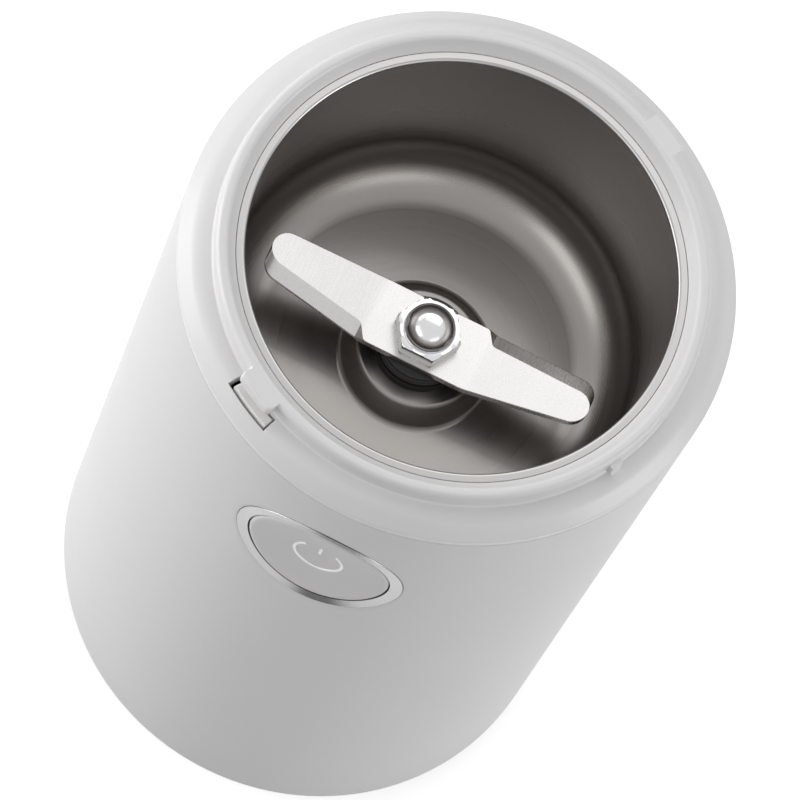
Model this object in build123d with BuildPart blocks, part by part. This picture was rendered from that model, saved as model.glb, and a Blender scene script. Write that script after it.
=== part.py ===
from build123d import *
import os
from math import cos, degrees, radians, sin

os.makedirs("parts", exist_ok=True)

# Electric coffee grinder, lid off. Millimetres. The origin is on the table under the middle of the
# grinder, +Z is up and the push button faces -Y. Azimuths count from the front (-Y) towards +X.

# Outer body
collar_radius = 46.0
body_draft = 1.0
foot_height = 1.5
shoulder_height = 152.5
collar_height = 4.0
collar_edge_radius = 0.5
crown_inset = 2.4
crown_drop = 2.5
crown_radius = 4.4
base_edge_radius = 1.8
shell_wall = 2.2
seam_chamfer = 0.3
base_radius = collar_radius - body_draft
seam_height = shoulder_height - collar_height

# Neck that the lid closes on
neck_inset = 5.4
neck_height = 3.5
neck_edge_radius = 0.6
neck_foot_radius = 0.45
land_width = 1.8
funnel_edge_radius = 1.0
shoulder_thickness = 2.4
core_groove_width = 0.7
core_groove_inset = 1.4
core_groove_height = 1.6
skirt_depth = 6.0
skirt_wall = 1.85
neck_radius = collar_radius - neck_inset
land_inner_radius = neck_radius - land_width
neck_top = shoulder_height + neck_height
crown_corner = neck_radius + crown_inset
crown_foot = shoulder_height - crown_drop

# Bayonet lugs and rib on the neck, and the interlock slot in the shoulder
lug_azimuth = -29.5
lug_width = 10.2
lug_reach = 2.1
lug_underside = 1.7
lug_corner_radius = 1.0
lug_root_radius = 0.4
rib_shift = 0.8
rib_width = 2.2
rib_reach = 1.0
rib_height = 2.4
slot_azimuth = -29.05
slot_width = 12.5
slot_inner_gap = 0.55
slot_outer_gap = 2.1
slot_inner_radius = neck_radius + slot_inner_gap
slot_outer_radius = collar_radius - slot_outer_gap

# Steel bowl
bowl_inset = 3.3
bowl_wall = 0.8
bowl_depth = 43.0
bowl_corner_radius = 9.0
rim_reach = 0.7
rim_height = 1.3
rim_thickness = 1.2
rim_roll_radius = 0.55
hub_cone_foot_radius = 13.0
hub_cone_top_radius = 10.5
hub_cone_height = 4.0
seal_bore_radius = 6.4
seal_lip = 1.2
seal_lip_radius = 7.8
bowl_seal_thickness = 1.0
hub_clearance = 0.6
bowl_radius = land_inner_radius - bowl_inset
bowl_outer_radius = bowl_radius + bowl_wall
rim_radius = bowl_outer_radius + rim_reach
rim_top = shoulder_height + rim_height
bowl_floor = rim_top - bowl_depth
hub_foot = bowl_floor + hub_cone_height + seal_lip + hub_clearance

# Push button. Its depths count inwards from the outer wall at the button's middle
button_drop = 30.5
bezel_radius = 15.1
bezel_opening_radius = 12.6
bezel_sleeve_wall = 1.4
bezel_flange_depth = 0.9
bezel_stand = 0.35
sleeve_depth = 4.8
cap_radius = 12.3
cap_stand = 0.2
cap_dip = 1.6
cap_floor_depth = 3.8
cap_skirt_depth = 5.2
cap_skirt_wall = 1.5
cap_edge_radius = 0.8
cap_dish_radius = 11.0
leg_width = 10.0
leg_depth = 7.2
leg_thickness = 2.1
leg_overlap = 6.5
symbol_radius = 4.25
symbol_stroke = 0.6
symbol_gap = 76.0
symbol_tick_low = 1.5
symbol_tick_high = 4.7
symbol_depth = 0.4
symbol_stand = 0.14
guide_radius = 15.6
guide_floor_depth = 8.6
guide_floor_thickness = 1.2
spring_radius = 5.5
spring_wire = 0.9
button_height = shoulder_height - button_drop

# Chassis plate that carries the bowl, the motor and the switches
plate_drop = 10.8
plate_thickness = 3.0
plate_gap = 0.7
plate_front_gap = 2.0
plate_front_width = 33.0
post_radius = 3.3
boss_drop = 11.5
chassis_screw_radius = 1.5
chassis_screw_head_radius = 2.9
chassis_screw_head_height = 2.2
ledge_reach = 2.2
ledge_width = 2.4
ledge_height = 40.0
ledge_azimuth = 22.5
plate_height = bowl_floor - plate_drop
plate_top = plate_height + plate_thickness
leg_foot_height = plate_height - leg_overlap

# Interlock
interlock_azimuth = -29.5
rod_head_drop = 0.15
rod_head_width = 1.8
rod_head_shift = 0.45
rod_edge_radius = 0.3
rod_foot_overlap = 2.5
rod_arm_thickness = 3.45
rod_arm_width = 5.0
stem_gap = 1.2
stem_radius = 1.5
stem_overlap = 7.5
stem_collar_radius = 2.6
stem_collar_thickness = 2.0
stem_spring_length = 11.0
stem_place = bowl_outer_radius + stem_gap + stem_radius
stem_foot_height = plate_height - stem_overlap
stem_collar_height = plate_top + stem_spring_length

# Snap switches
switch_length = 19.8
switch_thickness = 6.4
switch_depth = 10.2
switch_hole_spacing = 9.5
switch_hole_depth = 6.7
switch_terminal_width = 3.2
switch_terminal_thickness = 0.5
switch_terminal_length = 2.4
switch_screw_radius = 1.0
switch_screw_head_radius = 1.9
switch_screw_head_height = 1.2
switch_leg_gap = 2.4
switch_stem_offset = 4.0
switch_tab_wall = 2.0
switch_tab_width = 13.0
plunger_radius = 1.2
plunger_reach = 2.2
plunger_length = 5.2
plunger_bore_depth = 5.2
interlock_switch_inner = stem_place - switch_stem_offset

# Base cover, feet, screws, cord inlet and clamp
cover_thickness = 2.7
foot_radius = 5.0
foot_inset = 10.5
foot_pocket = 1.3
foot_edge_radius = 0.5
base_boss_inset = 7.8
base_boss_radius = 3.4
base_boss_height = 20.0
base_screw_radius = 1.4
base_screw_head_radius = 2.8
base_screw_head_height = 1.5
base_screw_length = 12.0
cross_length = 3.4
cross_width = 0.7
vent_rings = 4
vent_first_radius = 8.0
vent_pitch = 4.6
vent_width = 2.2
vent_spokes = 6
vent_spoke_width = 3.0
inlet_height = 13.0
inlet_bore_radius = 3.4
inlet_neck_radius = 5.4
inlet_flange_radius = 7.2
inlet_inner_gap = 0.8
inlet_inner_thickness = 1.6
clamp_gap = 4.4
clamp_depth = 6.0
clamp_bar_length = 23.0
clamp_bar_height = 5.0
clamp_post_place = 8.5
clamp_screw_radius = 1.3
terminal_inset = 12.5
terminal_length = 16.0
terminal_width = 9.0
terminal_height = 9.0
terminal_screw_radius = 1.8
cover_top = foot_height + cover_thickness
foot_place = base_radius - foot_inset
base_boss_place = base_radius - base_boss_inset
inlet_inner_face = base_radius - shell_wall - inlet_inner_gap - inlet_inner_thickness
clamp_far = inlet_inner_face - clamp_gap
clamp_near = clamp_far - clamp_depth

# Motor across: the sheet of the stack sets all other widths
motor_room = 20.0
air_gap = 0.5
winding_clearance = 0.1
bush_clearance = 0.03
shaft_radius = 3.0
shaft_thread_radius = 2.5
shaft_chamfer = 0.5
stator_length = 2 * (base_radius - motor_room)
stator_width = 0.92 * stator_length
stator_corner_radius = 0.06 * stator_length
stator_window_length = 0.8 * stator_length
stator_window_width = 0.74 * stator_length
pole_width = 0.3 * stator_length
pole_shoe_radius = 0.364 * stator_length
pole_shoe_width = 0.56 * stator_length
rotor_radius = 0.296 * stator_length
stator_bore_radius = rotor_radius + air_gap
rotor_slots = 12
rotor_slot_width = 0.052 * stator_length
rotor_slot_depth = 0.1 * stator_length
end_turn_radius = 0.268 * stator_length
end_turn_bore_radius = 4.2
end_turn_edge_radius = 2.0
coil_thickness = 0.058 * stator_length
coil_width = 0.52 * stator_length
coil_overhang = 5.5
commutator_radius = 0.2 * stator_length
commutator_bars = 24
commutator_groove_depth = 1.2
commutator_groove_width = 0.5
washer_radius = 4.7
washer_clearance = 0.2
bracket_thickness = 3.0
bracket_leg = 0.134 * stator_length
upper_cup_radius = 0.22 * stator_length
lower_cup_radius = 0.19 * stator_length
upper_shaft_hole_radius = 5.0
lower_shaft_hole_radius = 3.5
bush_radius = 0.14 * stator_length
lower_bush_radius = 0.13 * stator_length
motor_screw_x = 0.44 * stator_length
motor_screw_y = 0.4 * stator_length
motor_screw_radius = 1.5
motor_screw_head_radius = 2.7
motor_screw_head_height = 2.0
damper_place = 0.34 * stator_length
damper_radius = 6.0
damper_neck_radius = 4.0
mount_screw_radius = 2.0
mount_screw_head_radius = 3.6
mount_screw_head_height = 2.4
plate_bore_radius = 0.26 * stator_length
rib_circle_radius = 0.324 * stator_length
rib_circle_wall = 2.3
brush_width = 6.0
brush_height = 5.0
brush_length = 0.18 * stator_length
brush_gap = 0.15
holder_width = 10.5
holder_gap = 1.2
holder_cap_wall = 1.0
fan_radius = 0.48 * stator_length
fan_hub_radius = 6.5
fan_disc_thickness = 1.5
fan_blades = 9
fan_blade_wall = 1.2
fan_blade_inset = 0.5
fan_blade_lean = 20.0

# Motor upwards: fan and brushes stand on the base, the upper bracket hangs from the plate
fan_clearance = 4.8
fan_height = 9.0
shaft_tail = 3.0
cup_clearance = 3.0
lower_cup_drop = 3.5
lower_cup_height = 10.0
bush_length = 9.5
lower_bush_length = 7.0
commutator_clearance = 1.0
commutator_length = 9.5
brush_rise = 4.5
holder_rise = 4.0
end_turn_height = 6.3
end_turn_clearance = 1.2
damper_height = 3.5
damper_top = 2.5
upper_cup_rise = 4.0
fan_foot_height = cover_top + terminal_height + fan_clearance
shaft_foot_height = fan_foot_height - shaft_tail
lower_cup_foot = fan_foot_height + fan_height + cup_clearance
lower_cup_top = lower_cup_foot + lower_cup_height
lower_bracket_height = lower_cup_foot + lower_cup_drop
commutator_foot_height = lower_cup_top + commutator_clearance
brush_axis_height = commutator_foot_height + brush_rise
holder_top_height = brush_axis_height + holder_rise
lower_winding_foot = commutator_foot_height + commutator_length + end_turn_clearance
stator_foot_height = lower_winding_foot + end_turn_height
upper_bracket_height = plate_height - damper_height - bracket_thickness
upper_cup_top = plate_top + upper_cup_rise
stator_top = upper_bracket_height - end_turn_clearance - end_turn_height
stator_stack = stator_top - stator_foot_height

# Blade
blade_tip_gap = 6.0
blade_hub_radius = 7.5
blade_hub_height = 3.0
blade_width = 12.0
blade_tip_width = 8.0
blade_thickness = 1.5
blade_rise = 4.0
blade_flat = 18.0
blade_bevel_height = 1.0
blade_bevel_width = 2.6
blade_tip_radius = 2.6
nut_across_flats = 10.0
nut_height = 3.0
nut_dome_radius = 4.4
nut_dome_height = 3.1
hub_edge_radius = 0.6
thread_length = 6.4
blade_length = 2 * (bowl_radius - blade_tip_gap)
blade_height = hub_foot + blade_hub_height
shaft_top_height = blade_height + thread_length

# Circuit board
board_gap = 8.2
board_thickness = 1.6
board_width = 34.0
board_height = 35.0
board_drop = 13.0
board_holder_length = 4.6
board_holder_grip = 1.2
capacitor_thickness = 6.0
capacitor_width = 18.0
capacitor_height = 12.0
capacitor_edge_radius = 0.8
fuse_radius = 2.0
fuse_length = 10.0
board_place = stator_length / 2 + board_gap
board_foot_height = stator_foot_height - board_drop

# Fits
slide_gap = 0.3
press_gap = 0.05
plug_gap = 0.2

# Places that follow from the sizes and fits above
funnel_foot_radius = rim_radius + slide_gap / 2
seal_ledge = rim_top - rim_thickness - bowl_seal_thickness
ledge_radius = bowl_outer_radius + slide_gap
post_place = bowl_outer_radius + slide_gap + post_radius
rod_top = shoulder_height - rod_head_drop
rod_head_outer_radius = slot_outer_radius - 2 * slide_gap
rod_head_inner_radius = rod_head_outer_radius - rod_head_width
rod_arm_top = seam_height - skirt_depth - press_gap
interlock_switch_top = stem_foot_height - slide_gap - plunger_reach
quarter_turns = 4
outer_reach = 60.0


def shell_radius(height):
    """Radius of the tapered outer wall at a height."""
    share = (height - foot_height) / (seam_height - foot_height)
    return base_radius + (collar_radius - base_radius) * share


def core_outline(inset):
    """Half section of a solid that lies an inset below the outer wall, from the base to the seam."""
    foot = shell_radius(foot_height) - inset
    head = shell_radius(seam_height) - inset
    return [(0, foot_height), (foot, foot_height), (head, seam_height), (0, seam_height)]


def corner_at(corners, x, y):
    """The corner of a flat outline that lies nearest to x, y."""
    return corners.sort_by_distance((x, y, 0))[0]


def spoke_plane(azimuth, height):
    """Level plane whose x axis points outwards at an azimuth."""
    angle = radians(azimuth)
    return Plane(origin=(0, 0, height), x_dir=(sin(angle), -cos(angle), 0), z_dir=(0, 0, 1))


def sector(inner, outer, azimuth, width):
    """Ring sector between two radii, centred at an azimuth, with its width in degrees."""
    half = radians(width / 2)
    middle = radians(azimuth - 90)
    left = (outer_reach * 2 * cos(middle - half), outer_reach * 2 * sin(middle - half))
    right = (outer_reach * 2 * cos(middle + half), outer_reach * 2 * sin(middle + half))
    with BuildSketch() as piece:
        Circle(outer)
        Circle(inner, mode=Mode.SUBTRACT)
        Polygon((0, 0), left, right, align=None, mode=Mode.INTERSECT)
    return piece.sketch


front_face = shell_radius(button_height + bezel_radius) + bezel_stand
button_wall = shell_radius(button_height)
sleeve_end = button_wall - sleeve_depth
cap_edge_out = button_wall + cap_stand
cap_centre_out = cap_edge_out - cap_dip
dish_radius = (cap_dish_radius ** 2 + cap_dip ** 2) / (2 * cap_dip)
cap_floor_back = button_wall - cap_floor_depth
cap_skirt_end = button_wall - cap_skirt_depth
leg_back = button_wall - leg_depth
guide_floor = button_wall - guide_floor_depth
main_switch_face = leg_back - switch_leg_gap
plate_front = leg_back - plate_front_gap
plate_radius = shell_radius(plate_height) - shell_wall - plate_gap
ledge_inner_radius = plate_radius - ledge_reach
button_plane = Plane(origin=(0, 0, button_height), x_dir=(1, 0, 0), z_dir=(0, -1, 0))
button_section = Plane(origin=(0, 0, button_height), x_dir=(1, 0, 0), z_dir=(0, 0, -1))
button_axis = Axis((0, 0, button_height), (0, -1, 0))
bottom = (Align.CENTER, Align.CENTER, Align.MIN)
motor_corners = [
    (x, y) for x in (-motor_screw_x, motor_screw_x) for y in (-motor_screw_y, motor_screw_y)
]
damper_places = [(x, y) for x in (-damper_place, damper_place) for y in (-damper_place, damper_place)]
screw_row = [-switch_hole_spacing / 2, switch_hole_spacing / 2]
slot_outline = sector(slot_inner_radius, slot_outer_radius, slot_azimuth, slot_width)
end_gap = degrees(slide_gap / slot_outer_radius)
rod_head_outline = sector(
    rod_head_inner_radius,
    rod_head_outer_radius,
    slot_azimuth + rod_head_shift,
    slot_width - 2 * end_gap - 2 * rod_head_shift,
)
rod_foot_outline = sector(
    rod_head_inner_radius, rod_head_outer_radius, slot_azimuth, slot_width + 2 * rod_foot_overlap
)
lug_outlines = [
    sector(land_inner_radius, neck_radius + lug_reach, azimuth, lug_width)
    for azimuth in (lug_azimuth, lug_azimuth + 180)
]
spoke = spoke_plane(interlock_azimuth, interlock_switch_top - switch_hole_depth)
tab_plane = Plane(origin=spoke.origin, x_dir=spoke.y_dir, z_dir=spoke.x_dir)
switch_holes = [(x, switch_hole_depth - main_switch_face) for x in screw_row]
tab_holes = [(x, 0) for x in screw_row]
clamp_middle = (clamp_near + clamp_far) / 2
clamp_screw_places = [(-clamp_post_place, clamp_middle), (clamp_post_place, clamp_middle)]

# Recess in the front of the body that the bezel's flange sits in
with BuildPart() as bezel_recess:
    with BuildSketch(button_plane.offset(sleeve_end)):
        Circle(bezel_radius + plug_gap / 2)
    extrude(amount=outer_reach - sleeve_end)
    with BuildSketch(Plane.XZ):
        Polygon(*core_outline(bezel_flange_depth), align=None)
    revolve(axis=Axis.Z, mode=Mode.SUBTRACT)

# Body shell: tapered tube with ledges for the chassis, bosses for the base screws and board holders
with BuildPart() as body_shell:
    with BuildSketch(Plane.XY.offset(plate_height)):
        middle = (ledge_inner_radius + base_radius) / 2
        with PolarLocations(middle, quarter_turns, start_angle=ledge_azimuth):
            Rectangle(base_radius - ledge_inner_radius, ledge_width)
    extrude(amount=-ledge_height)
    with BuildSketch(Plane.XY.offset(cover_top)):
        with PolarLocations(base_boss_place, quarter_turns, start_angle=45):
            Circle(base_boss_radius)
        middle = (base_boss_place + base_radius) / 2
        with PolarLocations(middle, quarter_turns, start_angle=45):
            Rectangle(base_radius - base_boss_place, base_boss_radius)
    extrude(amount=base_boss_height)
    with BuildSketch(Plane.XY.offset(board_foot_height)):
        holder_x = board_place + board_thickness / 2
        holder_inner_y = board_width / 2 - board_holder_grip
        holder_outer_y = outer_reach / 2
        for side in (-1, 1):
            with Locations((holder_x, side * (holder_inner_y + holder_outer_y) / 2)):
                Rectangle(board_holder_length, holder_outer_y - holder_inner_y)
            with Locations((holder_x, side * board_width / 4)):
                Rectangle(
                    board_thickness + plug_gap,
                    board_width / 2 + plug_gap,
                    mode=Mode.SUBTRACT,
                )
    extrude(amount=board_height)
    wall_middle = (shell_radius(foot_height) + shell_radius(seam_height) - shell_wall) / 2
    Cylinder(wall_middle, seam_height, align=bottom, mode=Mode.INTERSECT)
    with BuildSketch(Plane.XZ):
        foot_inner = shell_radius(foot_height) - shell_wall
        head_inner = shell_radius(seam_height) - shell_wall
        Polygon(
            (foot_inner, foot_height),
            (base_radius, foot_height),
            (collar_radius, seam_height),
            (head_inner, seam_height),
            align=None,
        )
        fillet(corner_at(vertices(), base_radius, foot_height), base_edge_radius)
        chamfer(corner_at(vertices(), collar_radius, seam_height), seam_chamfer)
    revolve(axis=Axis.Z)
    with BuildSketch(button_plane.offset(outer_reach / 2)):
        Circle(bezel_opening_radius + bezel_sleeve_wall + plug_gap / 2)
    extrude(amount=outer_reach / 2, mode=Mode.SUBTRACT)
    add(bezel_recess.part, mode=Mode.SUBTRACT)
    with BuildSketch(Plane.XY.offset(cover_top)):
        with PolarLocations(base_boss_place, quarter_turns, start_angle=45):
            Circle(base_screw_radius + press_gap)
    extrude(amount=base_screw_length, mode=Mode.SUBTRACT)
    with BuildSketch(Plane.XZ.offset(-outer_reach)):
        with Locations((0, inlet_height)):
            Circle(inlet_neck_radius + press_gap)
    extrude(amount=outer_reach / 2, mode=Mode.SUBTRACT)
body_shell.part.label = "body_shell"
export_step(body_shell.part, "parts/body_shell.step")

# Top ring: collar, shoulder and neck in one moulding, with a skirt that plugs into the body
with BuildPart() as top_ring:
    skirt_outer = shell_radius(seam_height) - shell_wall - plug_gap
    underside = shoulder_height - shoulder_thickness
    with BuildSketch(Plane.XZ):
        Polygon(
            (ledge_radius, underside),
            (skirt_outer - skirt_wall, underside),
            (skirt_outer - skirt_wall, seam_height - skirt_depth),
            (skirt_outer, seam_height - skirt_depth),
            (skirt_outer, seam_height),
            (collar_radius, seam_height),
            (collar_radius, crown_foot),
            (crown_corner, shoulder_height),
            (ledge_radius, shoulder_height),
            align=None,
        )
        fillet(corner_at(vertices(), collar_radius, crown_foot), collar_edge_radius)
        fillet(corner_at(vertices(), crown_corner, shoulder_height), crown_radius)
        chamfer(corner_at(vertices(), collar_radius, seam_height), seam_chamfer)
    revolve(axis=Axis.Z)
    with BuildSketch(Plane.XY.offset(underside)):
        Circle(neck_radius)
    extrude(amount=shoulder_thickness + lug_underside + neck_edge_radius / 2)
    neck_foot = edges().filter_by(GeomType.CIRCLE).sort_by_distance((neck_radius, 0, shoulder_height))[0]
    fillet(neck_foot, neck_foot_radius)
    with BuildSketch(Plane.XY.offset(shoulder_height + lug_underside)):
        Circle(neck_radius)
        for outline in lug_outlines:
            add(outline)
        far_corners = vertices().filter_by(lambda v: v.center().length > neck_radius + lug_reach / 2)
        fillet(far_corners, lug_corner_radius)
        near_corners = vertices().filter_by(lambda v: abs(v.center().length - neck_radius) < press_gap)
        fillet(near_corners, lug_root_radius)
    extrude(amount=neck_height - lug_underside)
    fillet(faces().sort_by(Axis.Z)[-1].edges(), neck_edge_radius)
    with BuildSketch(Plane.XY.offset(shoulder_height - shoulder_thickness / 2)):
        with PolarLocations(neck_radius, 1, start_angle=lug_azimuth + rib_shift):
            Rectangle(rib_reach * 2, rib_width)
            fillet(vertices(), rib_width / 5)
    extrude(amount=shoulder_thickness / 2 + rib_height)
    with BuildSketch(Plane.XY.offset(shoulder_height - boss_drop)):
        with PolarLocations(post_place, quarter_turns, start_angle=45):
            Circle(post_radius)
    extrude(amount=boss_drop - shoulder_thickness / 2)
    with BuildSketch(Plane.XZ):
        Polygon(
            (0, underside - outer_reach),
            (ledge_radius, underside - outer_reach),
            (ledge_radius, seal_ledge),
            (funnel_foot_radius, seal_ledge),
            (funnel_foot_radius, rim_top),
            (land_inner_radius, neck_top),
            (neck_radius - neck_edge_radius, neck_top),
            (neck_radius - neck_edge_radius, neck_top + neck_height),
            (0, neck_top + neck_height),
            align=None,
        )
        fillet(corner_at(vertices(), land_inner_radius, neck_top), funnel_edge_radius)
    revolve(axis=Axis.Z, mode=Mode.SUBTRACT)
    with BuildSketch(Plane.XY.offset(underside)):
        Circle(neck_radius - core_groove_inset)
        Circle(neck_radius - core_groove_inset - core_groove_width, mode=Mode.SUBTRACT)
        with PolarLocations(post_place, quarter_turns, start_angle=45):
            Circle(post_radius, mode=Mode.SUBTRACT)
    extrude(amount=shoulder_thickness + core_groove_height, mode=Mode.SUBTRACT)
    with BuildSketch(Plane.XY.offset(seam_height - skirt_depth)):
        add(slot_outline)
    extrude(amount=outer_reach, mode=Mode.SUBTRACT)
    with BuildSketch(Plane.XY.offset(shoulder_height - boss_drop)):
        with PolarLocations(post_place, quarter_turns, start_angle=45):
            Circle(chassis_screw_radius + press_gap)
    extrude(amount=boss_drop - shoulder_thickness, mode=Mode.SUBTRACT)
top_ring.part.label = "top_ring"
export_step(top_ring.part, "parts/top_ring.step")

# Grinding bowl: deep-drawn steel cup with a rolled rim and a raised middle for the shaft seal
with BuildPart() as grinding_bowl:
    floor_back = bowl_floor - bowl_wall
    rim_back = rim_top - rim_thickness
    cone_top = bowl_floor + hub_cone_height
    with BuildSketch(Plane.XZ):
        Polygon(
            (seal_bore_radius, cone_top),
            (hub_cone_top_radius, cone_top),
            (hub_cone_foot_radius, bowl_floor),
            (bowl_radius, bowl_floor),
            (bowl_radius, rim_top),
            (rim_radius, rim_top),
            (rim_radius, rim_back),
            (bowl_outer_radius, rim_back),
            (bowl_outer_radius, floor_back),
            (hub_cone_foot_radius - bowl_wall / 4, floor_back),
            (hub_cone_top_radius - bowl_wall / 4, cone_top - bowl_wall),
            (seal_bore_radius, cone_top - bowl_wall),
            align=None,
        )
        fillet(corner_at(vertices(), bowl_radius, bowl_floor), bowl_corner_radius)
        fillet(corner_at(vertices(), bowl_outer_radius, floor_back), bowl_corner_radius + bowl_wall)
        fillet(corner_at(vertices(), bowl_radius, rim_top), rim_roll_radius)
        fillet(corner_at(vertices(), rim_radius, rim_top), rim_roll_radius)
    revolve(axis=Axis.Z)
grinding_bowl.part.label = "grinding_bowl"
export_step(grinding_bowl.part, "parts/grinding_bowl.step")

# Bowl seal: rubber ring between the top ring's ledge and the bowl's rim
with BuildPart() as bowl_seal:
    with BuildSketch(Plane.XY.offset(seal_ledge)):
        Circle(rim_radius - press_gap)
        Circle(ledge_radius, mode=Mode.SUBTRACT)
    extrude(amount=bowl_seal_thickness)
bowl_seal.part.label = "bowl_seal"
export_step(bowl_seal.part, "parts/bowl_seal.step")

# Shaft seal: rubber grommet in the bowl's middle hole, with a lip that runs on the shaft
with BuildPart() as shaft_seal:
    steel_back = bowl_floor + hub_cone_height - bowl_wall
    with BuildSketch(Plane.XY.offset(steel_back - seal_lip)):
        Circle(seal_lip_radius)
    extrude(amount=seal_lip)
    with BuildSketch(Plane.XY.offset(steel_back)):
        Circle(seal_bore_radius)
    extrude(amount=bowl_wall)
    with BuildSketch(Plane.XY.offset(steel_back + bowl_wall)):
        Circle(seal_lip_radius)
    extrude(amount=seal_lip)
    fillet(edges().group_by(Axis.Z)[-1], seal_lip / 3)
    with BuildSketch(Plane.XY.offset(steel_back - seal_lip)):
        Circle(shaft_radius + press_gap)
    extrude(amount=2 * seal_lip + bowl_wall, mode=Mode.SUBTRACT)
shaft_seal.part.label = "shaft_seal"
export_step(shaft_seal.part, "parts/shaft_seal.step")

# Motor chassis: plate with a rib ring under the bowl, four posts to the top ring and a switch tab
with BuildPart() as motor_chassis:
    with BuildSketch(Plane.XY.offset(plate_height)):
        Circle(plate_radius)
        with Locations((0, -plate_front - outer_reach / 2)):
            Rectangle(plate_front_width, outer_reach, mode=Mode.SUBTRACT)
    extrude(amount=plate_thickness)
    with BuildSketch(Plane.XY.offset(plate_top)):
        with PolarLocations(post_place, quarter_turns, start_angle=45):
            Circle(post_radius)
    extrude(amount=shoulder_height - boss_drop - plate_top)
    with BuildSketch(Plane.XY.offset(plate_top)):
        Circle(rib_circle_radius)
        Circle(rib_circle_radius - rib_circle_wall, mode=Mode.SUBTRACT)
    extrude(amount=bowl_floor - bowl_wall - plate_top)
    with BuildSketch(spoke_plane(interlock_azimuth, plate_height)):
        with Locations((interlock_switch_inner - switch_tab_wall / 2, 0)):
            Rectangle(switch_tab_wall, switch_tab_width)
    extrude(amount=interlock_switch_top - switch_depth - plate_height)
    with BuildSketch(Plane.XY.offset(plate_height)):
        Circle(plate_bore_radius)
        with Locations(*damper_places):
            Circle(damper_neck_radius + press_gap)
        with PolarLocations(post_place, quarter_turns, start_angle=45):
            Circle(chassis_screw_radius + plug_gap)
        with Locations(*switch_holes):
            Circle(switch_screw_radius + press_gap)
    extrude(amount=outer_reach, mode=Mode.SUBTRACT)
    with BuildSketch(spoke_plane(interlock_azimuth, plate_height)):
        with Locations((stem_place, 0)):
            Circle(stem_radius + slide_gap)
    extrude(amount=plate_thickness, mode=Mode.SUBTRACT)
    with BuildSketch(tab_plane.offset(interlock_switch_inner)):
        with Locations(*tab_holes):
            Circle(switch_screw_radius + press_gap)
    extrude(amount=-switch_tab_wall, mode=Mode.SUBTRACT)
motor_chassis.part.label = "motor_chassis"
export_step(motor_chassis.part, "parts/motor_chassis.step")

# Chassis screws: four long screws up through the posts into the top ring
with BuildPart() as chassis_screws:
    with PolarLocations(post_place, quarter_turns, start_angle=45):
        with Locations((0, 0, plate_height - chassis_screw_head_height)):
            Cylinder(chassis_screw_head_radius, chassis_screw_head_height, align=bottom)
        with Locations((0, 0, plate_height)):
            shank = shoulder_height - 2 * shoulder_thickness - plate_height
            Cylinder(chassis_screw_radius, shank, align=bottom)
chassis_screws.part.label = "chassis_screws"
export_step(chassis_screws.part, "parts/chassis_screws.step")

# Button bezel: bright plated ring, flush with the round wall, with a sleeve that guides the cap
with BuildPart() as bezel_underside:
    with BuildSketch(button_plane):
        Circle(outer_reach)
        Circle(bezel_opening_radius + bezel_sleeve_wall, mode=Mode.SUBTRACT)
    extrude(amount=outer_reach)
    with BuildSketch(Plane.XZ):
        Polygon(*core_outline(bezel_flange_depth), align=None)
    revolve(axis=Axis.Z, mode=Mode.INTERSECT)

with BuildPart() as button_bezel:
    with BuildSketch(button_plane.offset(sleeve_end)):
        Circle(bezel_radius)
        Circle(bezel_opening_radius, mode=Mode.SUBTRACT)
    extrude(amount=outer_reach - sleeve_end)
    with BuildSketch(Plane.XZ):
        Polygon(*core_outline(-bezel_stand), align=None)
    revolve(axis=Axis.Z, mode=Mode.INTERSECT)
    add(bezel_underside.part, mode=Mode.SUBTRACT)
button_bezel.part.label = "button_bezel"
export_step(button_bezel.part, "parts/button_bezel.step")

# Power symbol: a broken circle and a tick of foil, let into the dish of the cap
with BuildPart() as power_symbol:
    with BuildSketch(button_plane.offset(cap_centre_out - symbol_depth)):
        Circle(symbol_radius + symbol_stroke / 2)
        Circle(symbol_radius - symbol_stroke / 2, mode=Mode.SUBTRACT)
        half_gap = radians(symbol_gap / 2)
        Polygon(
            (0, 0),
            (outer_reach * sin(half_gap), outer_reach * cos(half_gap)),
            (-outer_reach * sin(half_gap), outer_reach * cos(half_gap)),
            align=None,
            mode=Mode.SUBTRACT,
        )
        with Locations((0, (symbol_tick_low + symbol_tick_high) / 2)):
            Rectangle(symbol_stroke, symbol_tick_high - symbol_tick_low)
    extrude(amount=symbol_depth + cap_dip)
    with Locations(button_plane.offset(cap_centre_out + dish_radius)):
        Sphere(dish_radius - symbol_stand, mode=Mode.SUBTRACT)
power_symbol.part.label = "power_symbol"
export_step(power_symbol.part, "parts/power_symbol.step")

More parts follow.
